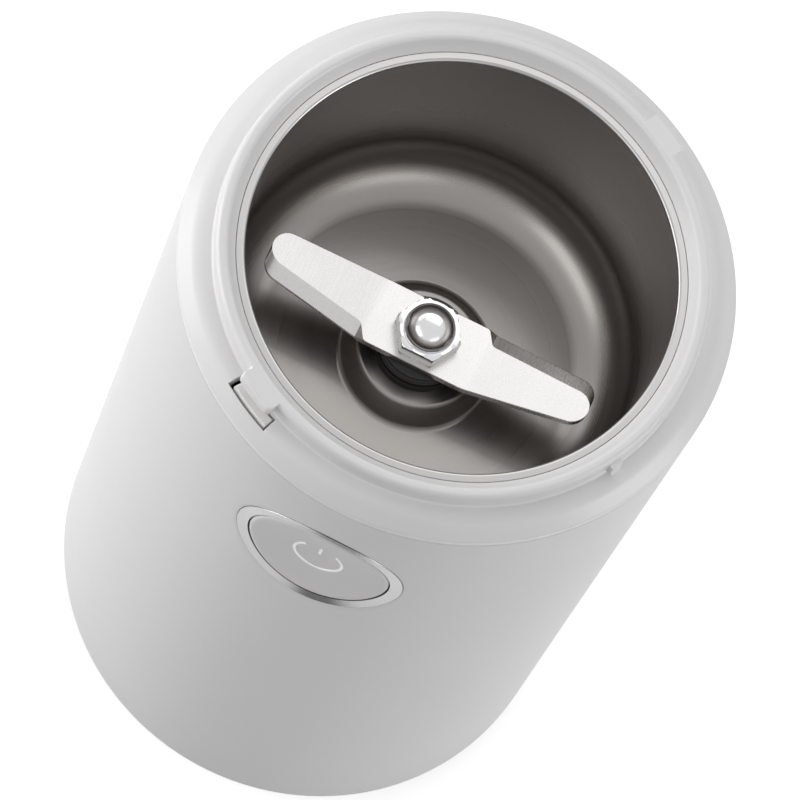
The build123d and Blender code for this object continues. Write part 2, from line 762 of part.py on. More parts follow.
# Button cap: dished face, round edge, a skirt that slides in the bezel and a leg down to the switch
with BuildPart() as button_cap:
    with BuildSketch(button_section):
        Polygon(
            (0, outer_reach),
            (cap_radius, outer_reach),
            (cap_radius, cap_skirt_end),
            (cap_radius - cap_skirt_wall, cap_skirt_end),
            (cap_radius - cap_skirt_wall, cap_floor_back),
            (0, cap_floor_back),
            align=None,
        )
    revolve(axis=button_axis)
    with BuildSketch(Plane.XZ):
        Polygon(*core_outline(-cap_stand), align=None)
    revolve(axis=Axis.Z, mode=Mode.INTERSECT)
    fillet(faces().sort_by(Axis.Y)[0].edges(), cap_edge_radius)
    with Locations(button_plane.offset(cap_centre_out + dish_radius)):
        Sphere(dish_radius, mode=Mode.SUBTRACT)
    leg_head = button_height - cap_radius + leg_width / 4
    with BuildSketch(button_plane.offset(leg_back)):
        with Locations((0, (leg_foot_height + leg_head) / 2 - button_height)):
            Rectangle(leg_width, leg_head - leg_foot_height)
    extrude(amount=leg_thickness)
    leg_root = button_height - cap_radius + cap_skirt_wall
    with BuildSketch(button_plane.offset(leg_back)):
        with Locations((0, (leg_root + leg_head) / 2 - button_height)):
            Rectangle(leg_width, leg_head - leg_root)
    extrude(amount=cap_floor_back - leg_back + press_gap)
    add(power_symbol.part, mode=Mode.SUBTRACT)
button_cap.part.label = "button_cap"
export_step(button_cap.part, "parts/button_cap.step")

# Button guide: snap ring behind the wall that holds the bezel and carries the return spring
with BuildPart() as button_guide:
    with BuildSketch(button_plane.offset(guide_floor)):
        Circle(guide_radius)
    extrude(amount=outer_reach - guide_floor)
    with BuildSketch(Plane.XZ):
        Polygon(*core_outline(shell_wall + plug_gap / 2), align=None)
    revolve(axis=Axis.Z, mode=Mode.INTERSECT)
    with BuildSketch(button_plane.offset(guide_floor + guide_floor_thickness)):
        Circle(bezel_opening_radius + bezel_sleeve_wall + press_gap)
    extrude(amount=outer_reach, mode=Mode.SUBTRACT)
    with BuildSketch(button_plane):
        with Locations((0, leg_head + slide_gap - button_height - outer_reach / 2)):
            Rectangle(leg_width + 4 * slide_gap, outer_reach)
    extrude(amount=outer_reach, mode=Mode.SUBTRACT)
button_guide.part.label = "button_guide"
export_step(button_guide.part, "parts/button_guide.step")

# Button spring: short return spring between the guide's floor and the back of the cap
with BuildPart() as button_spring:
    with BuildSketch(button_plane.offset(guide_floor + guide_floor_thickness)):
        Circle(spring_radius)
        Circle(spring_radius - spring_wire, mode=Mode.SUBTRACT)
    extrude(amount=cap_floor_back - guide_floor - guide_floor_thickness - plug_gap)
button_spring.part.label = "button_spring"
export_step(button_spring.part, "parts/button_spring.step")

# Main switch: snap switch under the chassis plate, its plunger facing the button's leg
switch_middle = plate_height - switch_thickness / 2
main_plane = Plane(origin=(0, 0, switch_middle), x_dir=(1, 0, 0), z_dir=(0, -1, 0))
with BuildPart() as main_switch:
    with BuildSketch(main_plane.offset(main_switch_face)):
        Rectangle(switch_length, switch_thickness)
    extrude(amount=-switch_depth)
    with BuildSketch(main_plane.offset(main_switch_face - switch_depth)):
        with GridLocations(switch_length / 2.5, 1, 3, 1):
            Rectangle(switch_terminal_width, switch_terminal_thickness)
    extrude(amount=-switch_terminal_length)
    with BuildSketch(main_plane.offset(main_switch_face)):
        Circle(plunger_radius + slide_gap)
    extrude(amount=-plunger_bore_depth, mode=Mode.SUBTRACT)
    with BuildSketch(Plane.XY.offset(plate_height)):
        with Locations(*switch_holes):
            Circle(switch_screw_radius + press_gap)
    extrude(amount=-switch_thickness, mode=Mode.SUBTRACT)
main_switch.part.label = "main_switch"
export_step(main_switch.part, "parts/main_switch.step")

with BuildPart() as main_switch_plunger:
    with BuildSketch(main_plane.offset(leg_back - slide_gap)):
        Circle(plunger_radius)
    extrude(amount=-plunger_length)
    fillet(edges().group_by(Axis.Y)[0], plunger_radius / 3)
main_switch_plunger.part.label = "main_switch_plunger"
export_step(main_switch_plunger.part, "parts/main_switch_plunger.step")

# Interlock rod: its head stands in the shoulder's slot and the closed lid pushes it down
with BuildPart() as interlock_rod:
    with BuildSketch(Plane.XY.offset(rod_arm_top - rod_arm_thickness)):
        add(rod_head_outline)
    extrude(amount=rod_top - rod_arm_top + rod_arm_thickness)
    fillet(edges().group_by(Axis.Z)[-1], rod_edge_radius)
    with BuildSketch(Plane.XY.offset(rod_arm_top - rod_arm_thickness)):
        add(rod_foot_outline)
    extrude(amount=rod_arm_thickness)
    with BuildSketch(spoke_plane(interlock_azimuth, rod_arm_top - rod_arm_thickness)):
        arm_inner = stem_place - stem_radius
        arm_outer = rod_head_inner_radius + plug_gap
        with Locations(((arm_inner + arm_outer) / 2, 0)):
            Rectangle(arm_outer - arm_inner, rod_arm_width)
    extrude(amount=rod_arm_thickness)
    with BuildSketch(spoke_plane(interlock_azimuth, stem_foot_height)):
        with Locations((stem_place, 0)):
            Circle(stem_radius)
    extrude(amount=rod_arm_top - stem_foot_height)
    with BuildSketch(spoke_plane(interlock_azimuth, stem_collar_height)):
        with Locations((stem_place, 0)):
            Circle(stem_collar_radius)
    extrude(amount=stem_collar_thickness)
interlock_rod.part.label = "interlock_rod"
export_step(interlock_rod.part, "parts/interlock_rod.step")

with BuildPart() as interlock_spring:
    with BuildSketch(spoke_plane(interlock_azimuth, plate_top)):
        with Locations((stem_place, 0)):
            Circle(stem_collar_radius)
            Circle(stem_radius + slide_gap, mode=Mode.SUBTRACT)
    extrude(amount=stem_collar_height - plug_gap - plate_top)
interlock_spring.part.label = "interlock_spring"
export_step(interlock_spring.part, "parts/interlock_spring.step")

# Interlock switch: the same snap switch, upright on the chassis tab under the rod's stem
interlock_middle = interlock_switch_inner + switch_thickness / 2
with BuildPart() as interlock_switch:
    with BuildSketch(spoke_plane(interlock_azimuth, interlock_switch_top)):
        with Locations((interlock_middle, 0)):
            Rectangle(switch_thickness, switch_length)
    extrude(amount=-switch_depth)
    with BuildSketch(spoke_plane(interlock_azimuth, interlock_switch_top - switch_depth)):
        with Locations((interlock_middle, 0)):
            with GridLocations(1, switch_length / 2.5, 1, 3):
                Rectangle(switch_terminal_thickness, switch_terminal_width)
    extrude(amount=-switch_terminal_length)
    with BuildSketch(spoke_plane(interlock_azimuth, interlock_switch_top)):
        with Locations((interlock_middle, 0)):
            Circle(plunger_radius + slide_gap)
    extrude(amount=-plunger_bore_depth, mode=Mode.SUBTRACT)
    with BuildSketch(tab_plane.offset(interlock_switch_inner)):
        with Locations(*tab_holes):
            Circle(switch_screw_radius + press_gap)
    extrude(amount=switch_thickness, mode=Mode.SUBTRACT)
interlock_switch.part.label = "interlock_switch"
export_step(interlock_switch.part, "parts/interlock_switch.step")

with BuildPart() as interlock_switch_plunger:
    with BuildSketch(spoke_plane(interlock_azimuth, interlock_switch_top + plunger_reach)):
        with Locations((interlock_middle, 0)):
            Circle(plunger_radius)
    extrude(amount=-plunger_length)
    fillet(edges().group_by(Axis.Z)[-1], plunger_radius / 3)
interlock_switch_plunger.part.label = "interlock_switch_plunger"
export_step(interlock_switch_plunger.part, "parts/interlock_switch_plunger.step")

# Switch screws: two for each switch
with BuildPart() as switch_screws:
    with BuildSketch(Plane.XY.offset(plate_height - switch_thickness)):
        with Locations(*switch_holes):
            Circle(switch_screw_head_radius)
    extrude(amount=-switch_screw_head_height)
    with BuildSketch(Plane.XY.offset(plate_height - switch_thickness)):
        with Locations(*switch_holes):
            Circle(switch_screw_radius)
    extrude(amount=switch_thickness + plate_thickness / 2)
    with BuildSketch(tab_plane.offset(interlock_switch_inner + switch_thickness)):
        with Locations(*tab_holes):
            Circle(switch_screw_head_radius)
    extrude(amount=switch_screw_head_height)
    with BuildSketch(tab_plane.offset(interlock_switch_inner + switch_thickness)):
        with Locations(*tab_holes):
            Circle(switch_screw_radius)
    extrude(amount=-switch_thickness - switch_tab_wall / 2)
switch_screws.part.label = "switch_screws"
export_step(switch_screws.part, "parts/switch_screws.step")

# Motor shaft: carries the rotor, the fan and, in the bowl, the blade
with BuildPart() as motor_shaft:
    with Locations((0, 0, shaft_foot_height)):
        Cylinder(shaft_radius, blade_height - shaft_foot_height, align=bottom)
    with Locations((0, 0, blade_height)):
        Cylinder(shaft_thread_radius, shaft_top_height - blade_height, align=bottom)
    chamfer(edges().group_by(Axis.Z)[-1], shaft_chamfer)
    chamfer(edges().group_by(Axis.Z)[0], shaft_chamfer)
motor_shaft.part.label = "motor_shaft"
export_step(motor_shaft.part, "parts/motor_shaft.step")

# Rotor core: steel stack with slots for the winding
with BuildPart() as rotor_core:
    with BuildSketch(Plane.XY.offset(stator_foot_height)):
        Circle(rotor_radius)
        Circle(shaft_radius + press_gap, mode=Mode.SUBTRACT)
        with PolarLocations(rotor_radius - rotor_slot_depth / 2, rotor_slots):
            Rectangle(
                rotor_slot_depth + 2 * winding_clearance,
                rotor_slot_width,
                mode=Mode.SUBTRACT,
            )
    extrude(amount=stator_stack)
rotor_core.part.label = "rotor_core"
export_step(rotor_core.part, "parts/rotor_core.step")

# Rotor windings: copper bars in the slots, joined by the end turns above and below the stack
with BuildPart() as rotor_windings:
    for foot in (lower_winding_foot, stator_top):
        with BuildSketch(Plane.XY.offset(foot)):
            Circle(end_turn_radius)
            Circle(end_turn_bore_radius, mode=Mode.SUBTRACT)
        extrude(amount=end_turn_height)
    crown_edges = [edges().group_by(Axis.Z)[place].sort_by(SortBy.RADIUS)[-1] for place in (0, -1)]
    fillet(crown_edges, end_turn_edge_radius)
    bar_depth = end_turn_radius - rotor_radius + rotor_slot_depth - winding_clearance
    with BuildSketch(Plane.XY.offset(stator_foot_height)):
        with PolarLocations(end_turn_radius - bar_depth / 2, rotor_slots):
            Rectangle(bar_depth, rotor_slot_width - 2 * winding_clearance)
    extrude(amount=stator_stack)
rotor_windings.part.label = "rotor_windings"
export_step(rotor_windings.part, "parts/rotor_windings.step")

# Commutator: copper bars on a moulded core
with BuildPart() as commutator:
    with BuildSketch(Plane.XY.offset(commutator_foot_height)):
        Circle(commutator_radius)
        Circle(shaft_radius + press_gap, mode=Mode.SUBTRACT)
        with PolarLocations(commutator_radius, commutator_bars):
            Rectangle(2 * commutator_groove_depth, commutator_groove_width, mode=Mode.SUBTRACT)
    extrude(amount=commutator_length)
commutator.part.label = "commutator"
export_step(commutator.part, "parts/commutator.step")

# Cooling fan: pressed on the shaft's lower end, it draws air in through the base vents
with BuildPart() as cooling_fan:
    with BuildSketch(Plane.XY.offset(fan_foot_height + fan_height)):
        Circle(fan_radius)
    extrude(amount=-fan_disc_thickness)
    with BuildSketch(Plane.XY.offset(fan_foot_height)):
        Circle(fan_hub_radius)
        blade_span = fan_radius - fan_hub_radius
        with PolarLocations(fan_hub_radius + blade_span / 2, fan_blades):
            Rectangle(blade_span - 2 * fan_blade_inset, fan_blade_wall, rotation=fan_blade_lean)
    extrude(amount=fan_height - fan_disc_thickness)
    with BuildSketch(Plane.XY.offset(fan_foot_height)):
        Circle(shaft_radius + press_gap)
    extrude(amount=fan_height, mode=Mode.SUBTRACT)
cooling_fan.part.label = "cooling_fan"
export_step(cooling_fan.part, "parts/cooling_fan.step")

# Thrust washers: a thick one between commutator and lower bush, one under the upper bush
with BuildPart() as thrust_washers:
    lower_washer_foot = lower_cup_foot + bracket_thickness / 2 + lower_bush_length + washer_clearance
    with BuildSketch(Plane.XY.offset(lower_washer_foot)):
        Circle(washer_radius)
        Circle(shaft_radius + press_gap, mode=Mode.SUBTRACT)
    extrude(amount=commutator_foot_height - washer_clearance - lower_washer_foot)
    with BuildSketch(Plane.XY.offset(upper_cup_top - bush_length - washer_clearance)):
        Circle(washer_radius)
        Circle(shaft_radius + press_gap, mode=Mode.SUBTRACT)
    extrude(amount=-bracket_thickness / 2)
thrust_washers.part.label = "thrust_washers"
export_step(thrust_washers.part, "parts/thrust_washers.step")

# Stator core: steel stack with two poles
with BuildPart() as stator_core:
    with BuildSketch(Plane.XY.offset(stator_foot_height)):
        Rectangle(stator_window_length, pole_width)
        Circle(pole_shoe_radius)
        with Locations((0, pole_shoe_width), (0, -pole_shoe_width)):
            Rectangle(outer_reach, pole_shoe_width, mode=Mode.SUBTRACT)
        RectangleRounded(stator_length, stator_width, stator_corner_radius)
        with BuildSketch(mode=Mode.PRIVATE) as window:
            Rectangle(stator_window_length, stator_window_width)
            Rectangle(stator_window_length, pole_width, mode=Mode.SUBTRACT)
            with BuildSketch(mode=Mode.PRIVATE) as shoes:
                Circle(pole_shoe_radius)
                Rectangle(outer_reach, pole_shoe_width, mode=Mode.INTERSECT)
            add(shoes.sketch, mode=Mode.SUBTRACT)
        add(window.sketch, mode=Mode.SUBTRACT)
        Circle(stator_bore_radius, mode=Mode.SUBTRACT)
        with Locations(*motor_corners):
            Circle(motor_screw_radius + press_gap, mode=Mode.SUBTRACT)
    extrude(amount=stator_stack)
stator_core.part.label = "stator_core"
export_step(stator_core.part, "parts/stator_core.step")

# Field coils: one round each pole
with BuildPart() as field_coils:
    coil_outer = stator_window_length / 2 - winding_clearance
    coil_middle = stator_foot_height + stator_stack / 2
    for side in (-1, 1):
        coil_plane = Plane(origin=(0, 0, coil_middle), x_dir=(0, 1, 0), z_dir=(side, 0, 0))
        with BuildSketch(coil_plane.offset(coil_outer)):
            RectangleRounded(coil_width, stator_stack + 2 * coil_overhang, coil_overhang / 2)
            Rectangle(
                pole_width + 2 * winding_clearance,
                stator_stack + 2 * winding_clearance,
                mode=Mode.SUBTRACT,
            )
        extrude(amount=-coil_thickness)
field_coils.part.label = "field_coils"
export_step(field_coils.part, "parts/field_coils.step")

# Upper motor bracket: bridge plate with four legs on the stack and the upper bearing cup
with BuildPart() as upper_motor_bracket:
    leg_x = (stator_length - bracket_leg) / 2
    leg_y = (stator_width - bracket_leg) / 2
    leg_places = [(x, y) for x in (-leg_x, leg_x) for y in (-leg_y, leg_y)]
    with BuildSketch(Plane.XY.offset(upper_bracket_height)):
        RectangleRounded(stator_length, stator_width, stator_corner_radius)
    extrude(amount=bracket_thickness)
    with BuildSketch(Plane.XY.offset(stator_top)):
        with Locations(*leg_places):
            Rectangle(bracket_leg, bracket_leg)
        RectangleRounded(stator_length, stator_width, stator_corner_radius, mode=Mode.INTERSECT)
    extrude(amount=upper_bracket_height - stator_top)
    with BuildSketch(Plane.XY.offset(upper_bracket_height)):
        Circle(upper_cup_radius)
    extrude(amount=upper_cup_top - upper_bracket_height)
    with BuildSketch(Plane.XY.offset(upper_cup_top - bush_length)):
        Circle(bush_radius + press_gap)
    extrude(amount=bush_length, mode=Mode.SUBTRACT)
    with BuildSketch(Plane.XY.offset(upper_bracket_height)):
        Circle(upper_shaft_hole_radius)
        with Locations(*damper_places):
            Circle(mount_screw_radius + press_gap)
    extrude(amount=bush_length, mode=Mode.SUBTRACT)
    with BuildSketch(Plane.XY.offset(stator_top)):
        with Locations(*motor_corners):
            Circle(motor_screw_radius + press_gap)
    extrude(amount=upper_bracket_height - stator_top + bracket_thickness / 2, mode=Mode.SUBTRACT)
upper_motor_bracket.part.label = "upper_motor_bracket"
export_step(upper_motor_bracket.part, "parts/upper_motor_bracket.step")

# Lower motor bracket: the same bridge below, with the lower bearing cup
with BuildPart() as lower_motor_bracket:
    plate_back = lower_bracket_height + bracket_thickness
    with BuildSketch(Plane.XY.offset(lower_bracket_height)):
        RectangleRounded(stator_length, stator_width, stator_corner_radius)
    extrude(amount=bracket_thickness)
    with BuildSketch(Plane.XY.offset(plate_back)):
        with Locations(*leg_places):
            Rectangle(bracket_leg, bracket_leg)
        RectangleRounded(stator_length, stator_width, stator_corner_radius, mode=Mode.INTERSECT)
    extrude(amount=stator_foot_height - plate_back)
    with BuildSketch(Plane.XY.offset(lower_cup_foot)):
        Circle(lower_cup_radius)
    extrude(amount=lower_cup_top - lower_cup_foot)
    with BuildSketch(Plane.XY.offset(lower_cup_foot)):
        Circle(lower_shaft_hole_radius)
    extrude(amount=lower_cup_top - lower_cup_foot, mode=Mode.SUBTRACT)
    with BuildSketch(Plane.XY.offset(lower_cup_foot + bracket_thickness / 2)):
        Circle(lower_bush_radius + press_gap)
    extrude(amount=lower_cup_top, mode=Mode.SUBTRACT)
    with BuildSketch(Plane.XY.offset(lower_bracket_height)):
        with Locations(*motor_corners):
            Circle(motor_screw_radius + press_gap)
    extrude(amount=stator_foot_height, mode=Mode.SUBTRACT)
lower_motor_bracket.part.label = "lower_motor_bracket"
export_step(lower_motor_bracket.part, "parts/lower_motor_bracket.step")

# Bushes: sintered bronze, oiled, one in each bracket
with BuildPart() as upper_bush:
    with BuildSketch(Plane.XY.offset(upper_cup_top - bush_length)):
        Circle(bush_radius)
        Circle(shaft_radius + bush_clearance, mode=Mode.SUBTRACT)
    extrude(amount=bush_length)
upper_bush.part.label = "upper_bush"
export_step(upper_bush.part, "parts/upper_bush.step")

with BuildPart() as lower_bush:
    with BuildSketch(Plane.XY.offset(lower_cup_foot + bracket_thickness / 2)):
        Circle(lower_bush_radius)
        Circle(shaft_radius + bush_clearance, mode=Mode.SUBTRACT)
    extrude(amount=lower_bush_length)
lower_bush.part.label = "lower_bush"
export_step(lower_bush.part, "parts/lower_bush.step")

# Motor screws: four long screws from below through the stack into the upper bracket
with BuildPart() as motor_screws:
    with Locations(*[(x, y, lower_bracket_height - motor_screw_head_height) for x, y in motor_corners]):
        Cylinder(motor_screw_head_radius, motor_screw_head_height, align=bottom)
    shank = upper_bracket_height + bracket_thickness / 3 - lower_bracket_height
    with Locations(*[(x, y, lower_bracket_height) for x, y in motor_corners]):
        Cylinder(motor_screw_radius, shank, align=bottom)
motor_screws.part.label = "motor_screws"
export_step(motor_screws.part, "parts/motor_screws.step")

# Motor dampers: rubber grommets in the chassis plate, so that the motor hangs soft
with BuildPart() as motor_dampers:
    bracket_top = upper_bracket_height + bracket_thickness
    damper_head = plate_top + damper_top
    with Locations(*[(x, y, bracket_top) for x, y in damper_places]):
        Cylinder(damper_radius, plate_height - bracket_top, align=bottom)
    with Locations(*[(x, y, plate_height) for x, y in damper_places]):
        Cylinder(damper_neck_radius, plate_thickness, align=bottom)
    with Locations(*[(x, y, plate_top) for x, y in damper_places]):
        Cylinder(damper_radius, damper_top, align=bottom)
    with Locations(*[(x, y, bracket_top) for x, y in damper_places]):
        Cylinder(
            mount_screw_radius + press_gap,
            damper_head - bracket_top,
            align=bottom,
            mode=Mode.SUBTRACT,
        )
motor_dampers.part.label = "motor_dampers"
export_step(motor_dampers.part, "parts/motor_dampers.step")

# Motor mount screws: down through the dampers into the upper bracket
with BuildPart() as motor_mount_screws:
    with Locations(*[(x, y, damper_head) for x, y in damper_places]):
        Cylinder(mount_screw_head_radius, mount_screw_head_height, align=bottom)
    shank = damper_head - upper_bracket_height - press_gap
    with Locations(*[(x, y, upper_bracket_height + press_gap) for x, y in damper_places]):
        Cylinder(mount_screw_radius, shank, align=bottom)
motor_mount_screws.part.label = "motor_mount_screws"
export_step(motor_mount_screws.part, "parts/motor_mount_screws.step")

# Brush holders, carbon brushes and their springs, one set on each side of the commutator
with BuildPart() as brush_holders:
    holder_inner = commutator_radius + holder_gap
    holder_outer = stator_width / 2
    for side in (-1, 1):
        with BuildSketch(Plane.XY.offset(lower_bracket_height + bracket_thickness)):
            with Locations((0, side * (holder_inner + holder_outer) / 2)):
                Rectangle(holder_width, holder_outer - holder_inner)
        extrude(amount=holder_top_height - lower_bracket_height - bracket_thickness)
        with BuildSketch(Plane.XZ.offset(-side * holder_inner)):
            with Locations((0, brush_axis_height)):
                Rectangle(brush_width + plug_gap, brush_height + plug_gap)
        extrude(amount=-side * (holder_outer - holder_inner - holder_cap_wall), mode=Mode.SUBTRACT)
brush_holders.part.label = "brush_holders"
export_step(brush_holders.part, "parts/brush_holders.step")

with BuildPart() as carbon_brushes:
    brush_face = commutator_radius + brush_gap
    for side in (-1, 1):
        with BuildSketch(Plane.XZ.offset(-side * brush_face)):
            with Locations((0, brush_axis_height)):
                Rectangle(brush_width, brush_height)
        extrude(amount=-side * brush_length)
carbon_brushes.part.label = "carbon_brushes"
export_step(carbon_brushes.part, "parts/carbon_brushes.step")

with BuildPart() as brush_springs:
    spring_start = brush_face + brush_length
    spring_end = holder_outer - holder_cap_wall
    for side in (-1, 1):
        with BuildSketch(Plane.XZ.offset(-side * spring_start)):
            with Locations((0, brush_axis_height)):
                Circle(brush_height / 2 - plug_gap)
                Circle(brush_height / 3, mode=Mode.SUBTRACT)
        extrude(amount=-side * (spring_end - spring_start))
brush_springs.part.label = "brush_springs"
export_step(brush_springs.part, "parts/brush_springs.step")

# Blade hub: moulded hub pressed on the shaft above the seal
with BuildPart() as blade_hub:
    with BuildSketch(Plane.XY.offset(hub_foot)):
        Circle(blade_hub_radius)
    extrude(amount=blade_hub_height)
    fillet(edges().group_by(Axis.Z)[0], hub_edge_radius)
    with BuildSketch(Plane.XY.offset(hub_foot)):
        Circle(shaft_radius + press_gap)
    extrude(amount=blade_hub_height, mode=Mode.SUBTRACT)
blade_hub.part.label = "blade_hub"
export_step(blade_hub.part, "parts/blade_hub.step")

# Blade: pressed steel, flat in the middle, with two raised and bevelled wings
with BuildPart() as blade:
    half_flat = blade_flat / 2
    half_length = blade_length / 2
    with BuildSketch(Plane.XZ.offset(-blade_width)):
        Polygon(
            (-half_length, blade_height + blade_rise),
            (-half_flat, blade_height),
            (half_flat, blade_height),
            (half_length, blade_height + blade_rise),
            (half_length, blade_height + blade_rise + blade_thickness),
            (half_flat, blade_height + blade_thickness),
            (-half_flat, blade_height + blade_thickness),
            (-half_length, blade_height + blade_rise + blade_thickness),
            align=None,
        )
    extrude(amount=2 * blade_width)
    with BuildSketch(Plane.XY.offset(blade_height - blade_rise)):
        Polygon(
            (-half_length, -blade_tip_width / 2),
            (-half_flat, -blade_width / 2),
            (half_flat, -blade_width / 2),
            (half_length, -blade_tip_width / 2),
            (half_length, blade_tip_width / 2),
            (half_flat, blade_width / 2),
            (-half_flat, blade_width / 2),
            (-half_length, blade_tip_width / 2),
            align=None,
        )
        fillet(vertices().filter_by(lambda corner: abs(corner.X) > half_flat * 2), blade_tip_radius)
    extrude(amount=4 * blade_rise, mode=Mode.INTERSECT)
    with BuildSketch(Plane.XY.offset(blade_height)):
        Circle(shaft_thread_radius + press_gap)
    extrude(amount=blade_thickness, mode=Mode.SUBTRACT)
    blade_top = blade_height + blade_thickness
    for side in (-1, 1):
        edge_start = Vector(side * half_flat, side * blade_width / 2, blade_top)
        edge_end = Vector(side * half_length, side * blade_tip_width / 2, blade_top + blade_rise)
        run = edge_end - edge_start
        with BuildSketch(Plane(origin=edge_start, x_dir=Vector(0, 0, 1).cross(run), z_dir=run)):
            Polygon(
                (-2 * blade_bevel_width, blade_bevel_height),
                (blade_bevel_width, -2 * blade_bevel_height),
                (blade_bevel_width, blade_bevel_height),
                align=None,
            )
        extrude(amount=run.length + blade_bevel_width, mode=Mode.SUBTRACT)
blade.part.label = "blade"
export_step(blade.part, "parts/blade.step")

# Blade nut: domed cap nut on the shaft's thread
with BuildPart() as blade_nut:
    nut_foot = blade_height + blade_thickness
    dome_foot = nut_foot + nut_height
    dome_top = dome_foot + nut_dome_height
    dome_sphere = (nut_dome_radius ** 2 + nut_dome_height ** 2) / (2 * nut_dome_height)
    with BuildSketch(Plane.XZ):
        with BuildLine():
            Polyline((0, dome_top), (0, nut_foot), (nut_dome_radius, nut_foot), (nut_dome_radius, dome_foot))
            RadiusArc((0, dome_top), (nut_dome_radius, dome_foot), dome_sphere)
        make_face()
    revolve(axis=Axis.Z)
    with BuildSketch(Plane.XY.offset(nut_foot)):
        RegularPolygon(nut_across_flats / 2, 6, major_radius=False)
    extrude(amount=nut_height)
    with BuildSketch(Plane.XY.offset(nut_foot)):
        Circle(shaft_thread_radius + press_gap)
    extrude(amount=shaft_top_height - nut_foot + press_gap, mode=Mode.SUBTRACT)
blade_nut.part.label = "blade_nut"
export_step(blade_nut.part, "parts/blade_nut.step")

# Base cover: closes the body from below, with ring vents under the fan and the cord's cradle
with BuildPart() as base_cover:
    cover_radius = base_radius - shell_wall - plug_gap
    with BuildSketch(Plane.XY.offset(foot_height)):
        Circle(cover_radius)
    extrude(amount=cover_thickness)
    with BuildSketch(Plane.XY.offset(cover_top)):
        with Locations((0, clamp_middle)):
            Rectangle(clamp_bar_length, clamp_far - clamp_near)
    extrude(amount=inlet_height - cover_top - plug_gap)
    with BuildSketch(Plane.XZ.offset(-clamp_near)):
        with Locations((0, inlet_height)):
            Circle(inlet_bore_radius + plug_gap)
    extrude(amount=clamp_near - clamp_far, mode=Mode.SUBTRACT)
    with BuildSketch(Plane.XY.offset(foot_height)):
        for ring in reversed(range(vent_rings)):
            middle = vent_first_radius + ring * vent_pitch
            Circle(middle + vent_width / 2)
            Circle(middle - vent_width / 2, mode=Mode.SUBTRACT)
        with PolarLocations(outer_reach / 2, vent_spokes, start_angle=30):
            Rectangle(outer_reach, vent_spoke_width, mode=Mode.SUBTRACT)
    extrude(amount=cover_thickness, mode=Mode.SUBTRACT)
    with BuildSketch(Plane.XY.offset(foot_height)):
        with PolarLocations(foot_place, quarter_turns):
            Circle(foot_radius + press_gap)
    extrude(amount=foot_pocket, mode=Mode.SUBTRACT)
    with BuildSketch(Plane.XY.offset(foot_height)):
        with PolarLocations(base_boss_place, quarter_turns, start_angle=45):
            Circle(base_screw_head_radius + slide_gap)
    extrude(amount=base_screw_head_height, mode=Mode.SUBTRACT)
    with BuildSketch(Plane.XY.offset(foot_height)):
        with PolarLocations(base_boss_place, quarter_turns, start_angle=45):
            Circle(base_screw_radius + press_gap)
    extrude(amount=cover_thickness, mode=Mode.SUBTRACT)
    with BuildSketch(Plane.XY.offset(cover_top)):
        with Locations(*clamp_screw_places):
            Circle(clamp_screw_radius + press_gap)
    extrude(amount=inlet_height, mode=Mode.SUBTRACT)
base_cover.part.label = "base_cover"
export_step(base_cover.part, "parts/base_cover.step")

# Rubber feet, pressed into the cover's pockets
with BuildPart() as rubber_feet:
    with BuildSketch():
        with PolarLocations(foot_place, quarter_turns):
            Circle(foot_radius)
    extrude(amount=foot_height + foot_pocket)
    fillet(edges().group_by(Axis.Z)[0], foot_edge_radius)
rubber_feet.part.label = "rubber_feet"
export_step(rubber_feet.part, "parts/rubber_feet.step")

# Base screws, with a cross recess that shows in the cover's counterbores
with BuildPart() as base_screws:
    head_foot = foot_height + plug_gap
    with BuildSketch(Plane.XY.offset(head_foot)):
        with PolarLocations(base_boss_place, quarter_turns, start_angle=45):
            Circle(base_screw_head_radius)
    extrude(amount=base_screw_head_height - plug_gap)
    with BuildSketch(Plane.XY.offset(foot_height + base_screw_head_height)):
        with PolarLocations(base_boss_place, quarter_turns, start_angle=45):
            Circle(base_screw_radius)
    extrude(amount=base_screw_length)
    with BuildSketch(Plane.XY.offset(head_foot)):
        with PolarLocations(base_boss_place, quarter_turns, start_angle=45):
            Rectangle(cross_length, cross_width)
            Rectangle(cross_width, cross_length)
    extrude(amount=base_screw_head_height / 2, mode=Mode.SUBTRACT)
base_screws.part.label = "base_screws"
export_step(base_screws.part, "parts/base_screws.step")

# Cord inlet: rubber grommet in the rear wall, its bore open for a 6 to 6.5 mm round lead
with BuildPart() as cord_inlet:
    with BuildSketch(Plane.XZ.offset(-inlet_inner_face)):
        with Locations((0, inlet_height)):
            Circle(inlet_flange_radius)
    extrude(amount=-(front_face - inlet_inner_face))
    with BuildSketch(Plane.XZ):
        Polygon(*core_outline(-press_gap), align=None)
    revolve(axis=Axis.Z, mode=Mode.SUBTRACT)
    with BuildSketch(Plane.XZ.offset(-inlet_inner_face)):
        with Locations((0, inlet_height)):
            Circle(inlet_flange_radius)
    extrude(amount=-inlet_inner_thickness)
    with BuildSketch(Plane.XZ.offset(-inlet_inner_face)):
        with Locations((0, inlet_height)):
            Circle(inlet_neck_radius)
    extrude(amount=-(base_radius - inlet_inner_face + plug_gap))
    with BuildSketch(Plane.XZ.offset(-inlet_inner_face)):
        with Locations((0, inlet_height)):
            Circle(inlet_bore_radius)
    extrude(amount=-(front_face - inlet_inner_face), mode=Mode.SUBTRACT)
cord_inlet.part.label = "cord_inlet"
export_step(cord_inlet.part, "parts/cord_inlet.step")

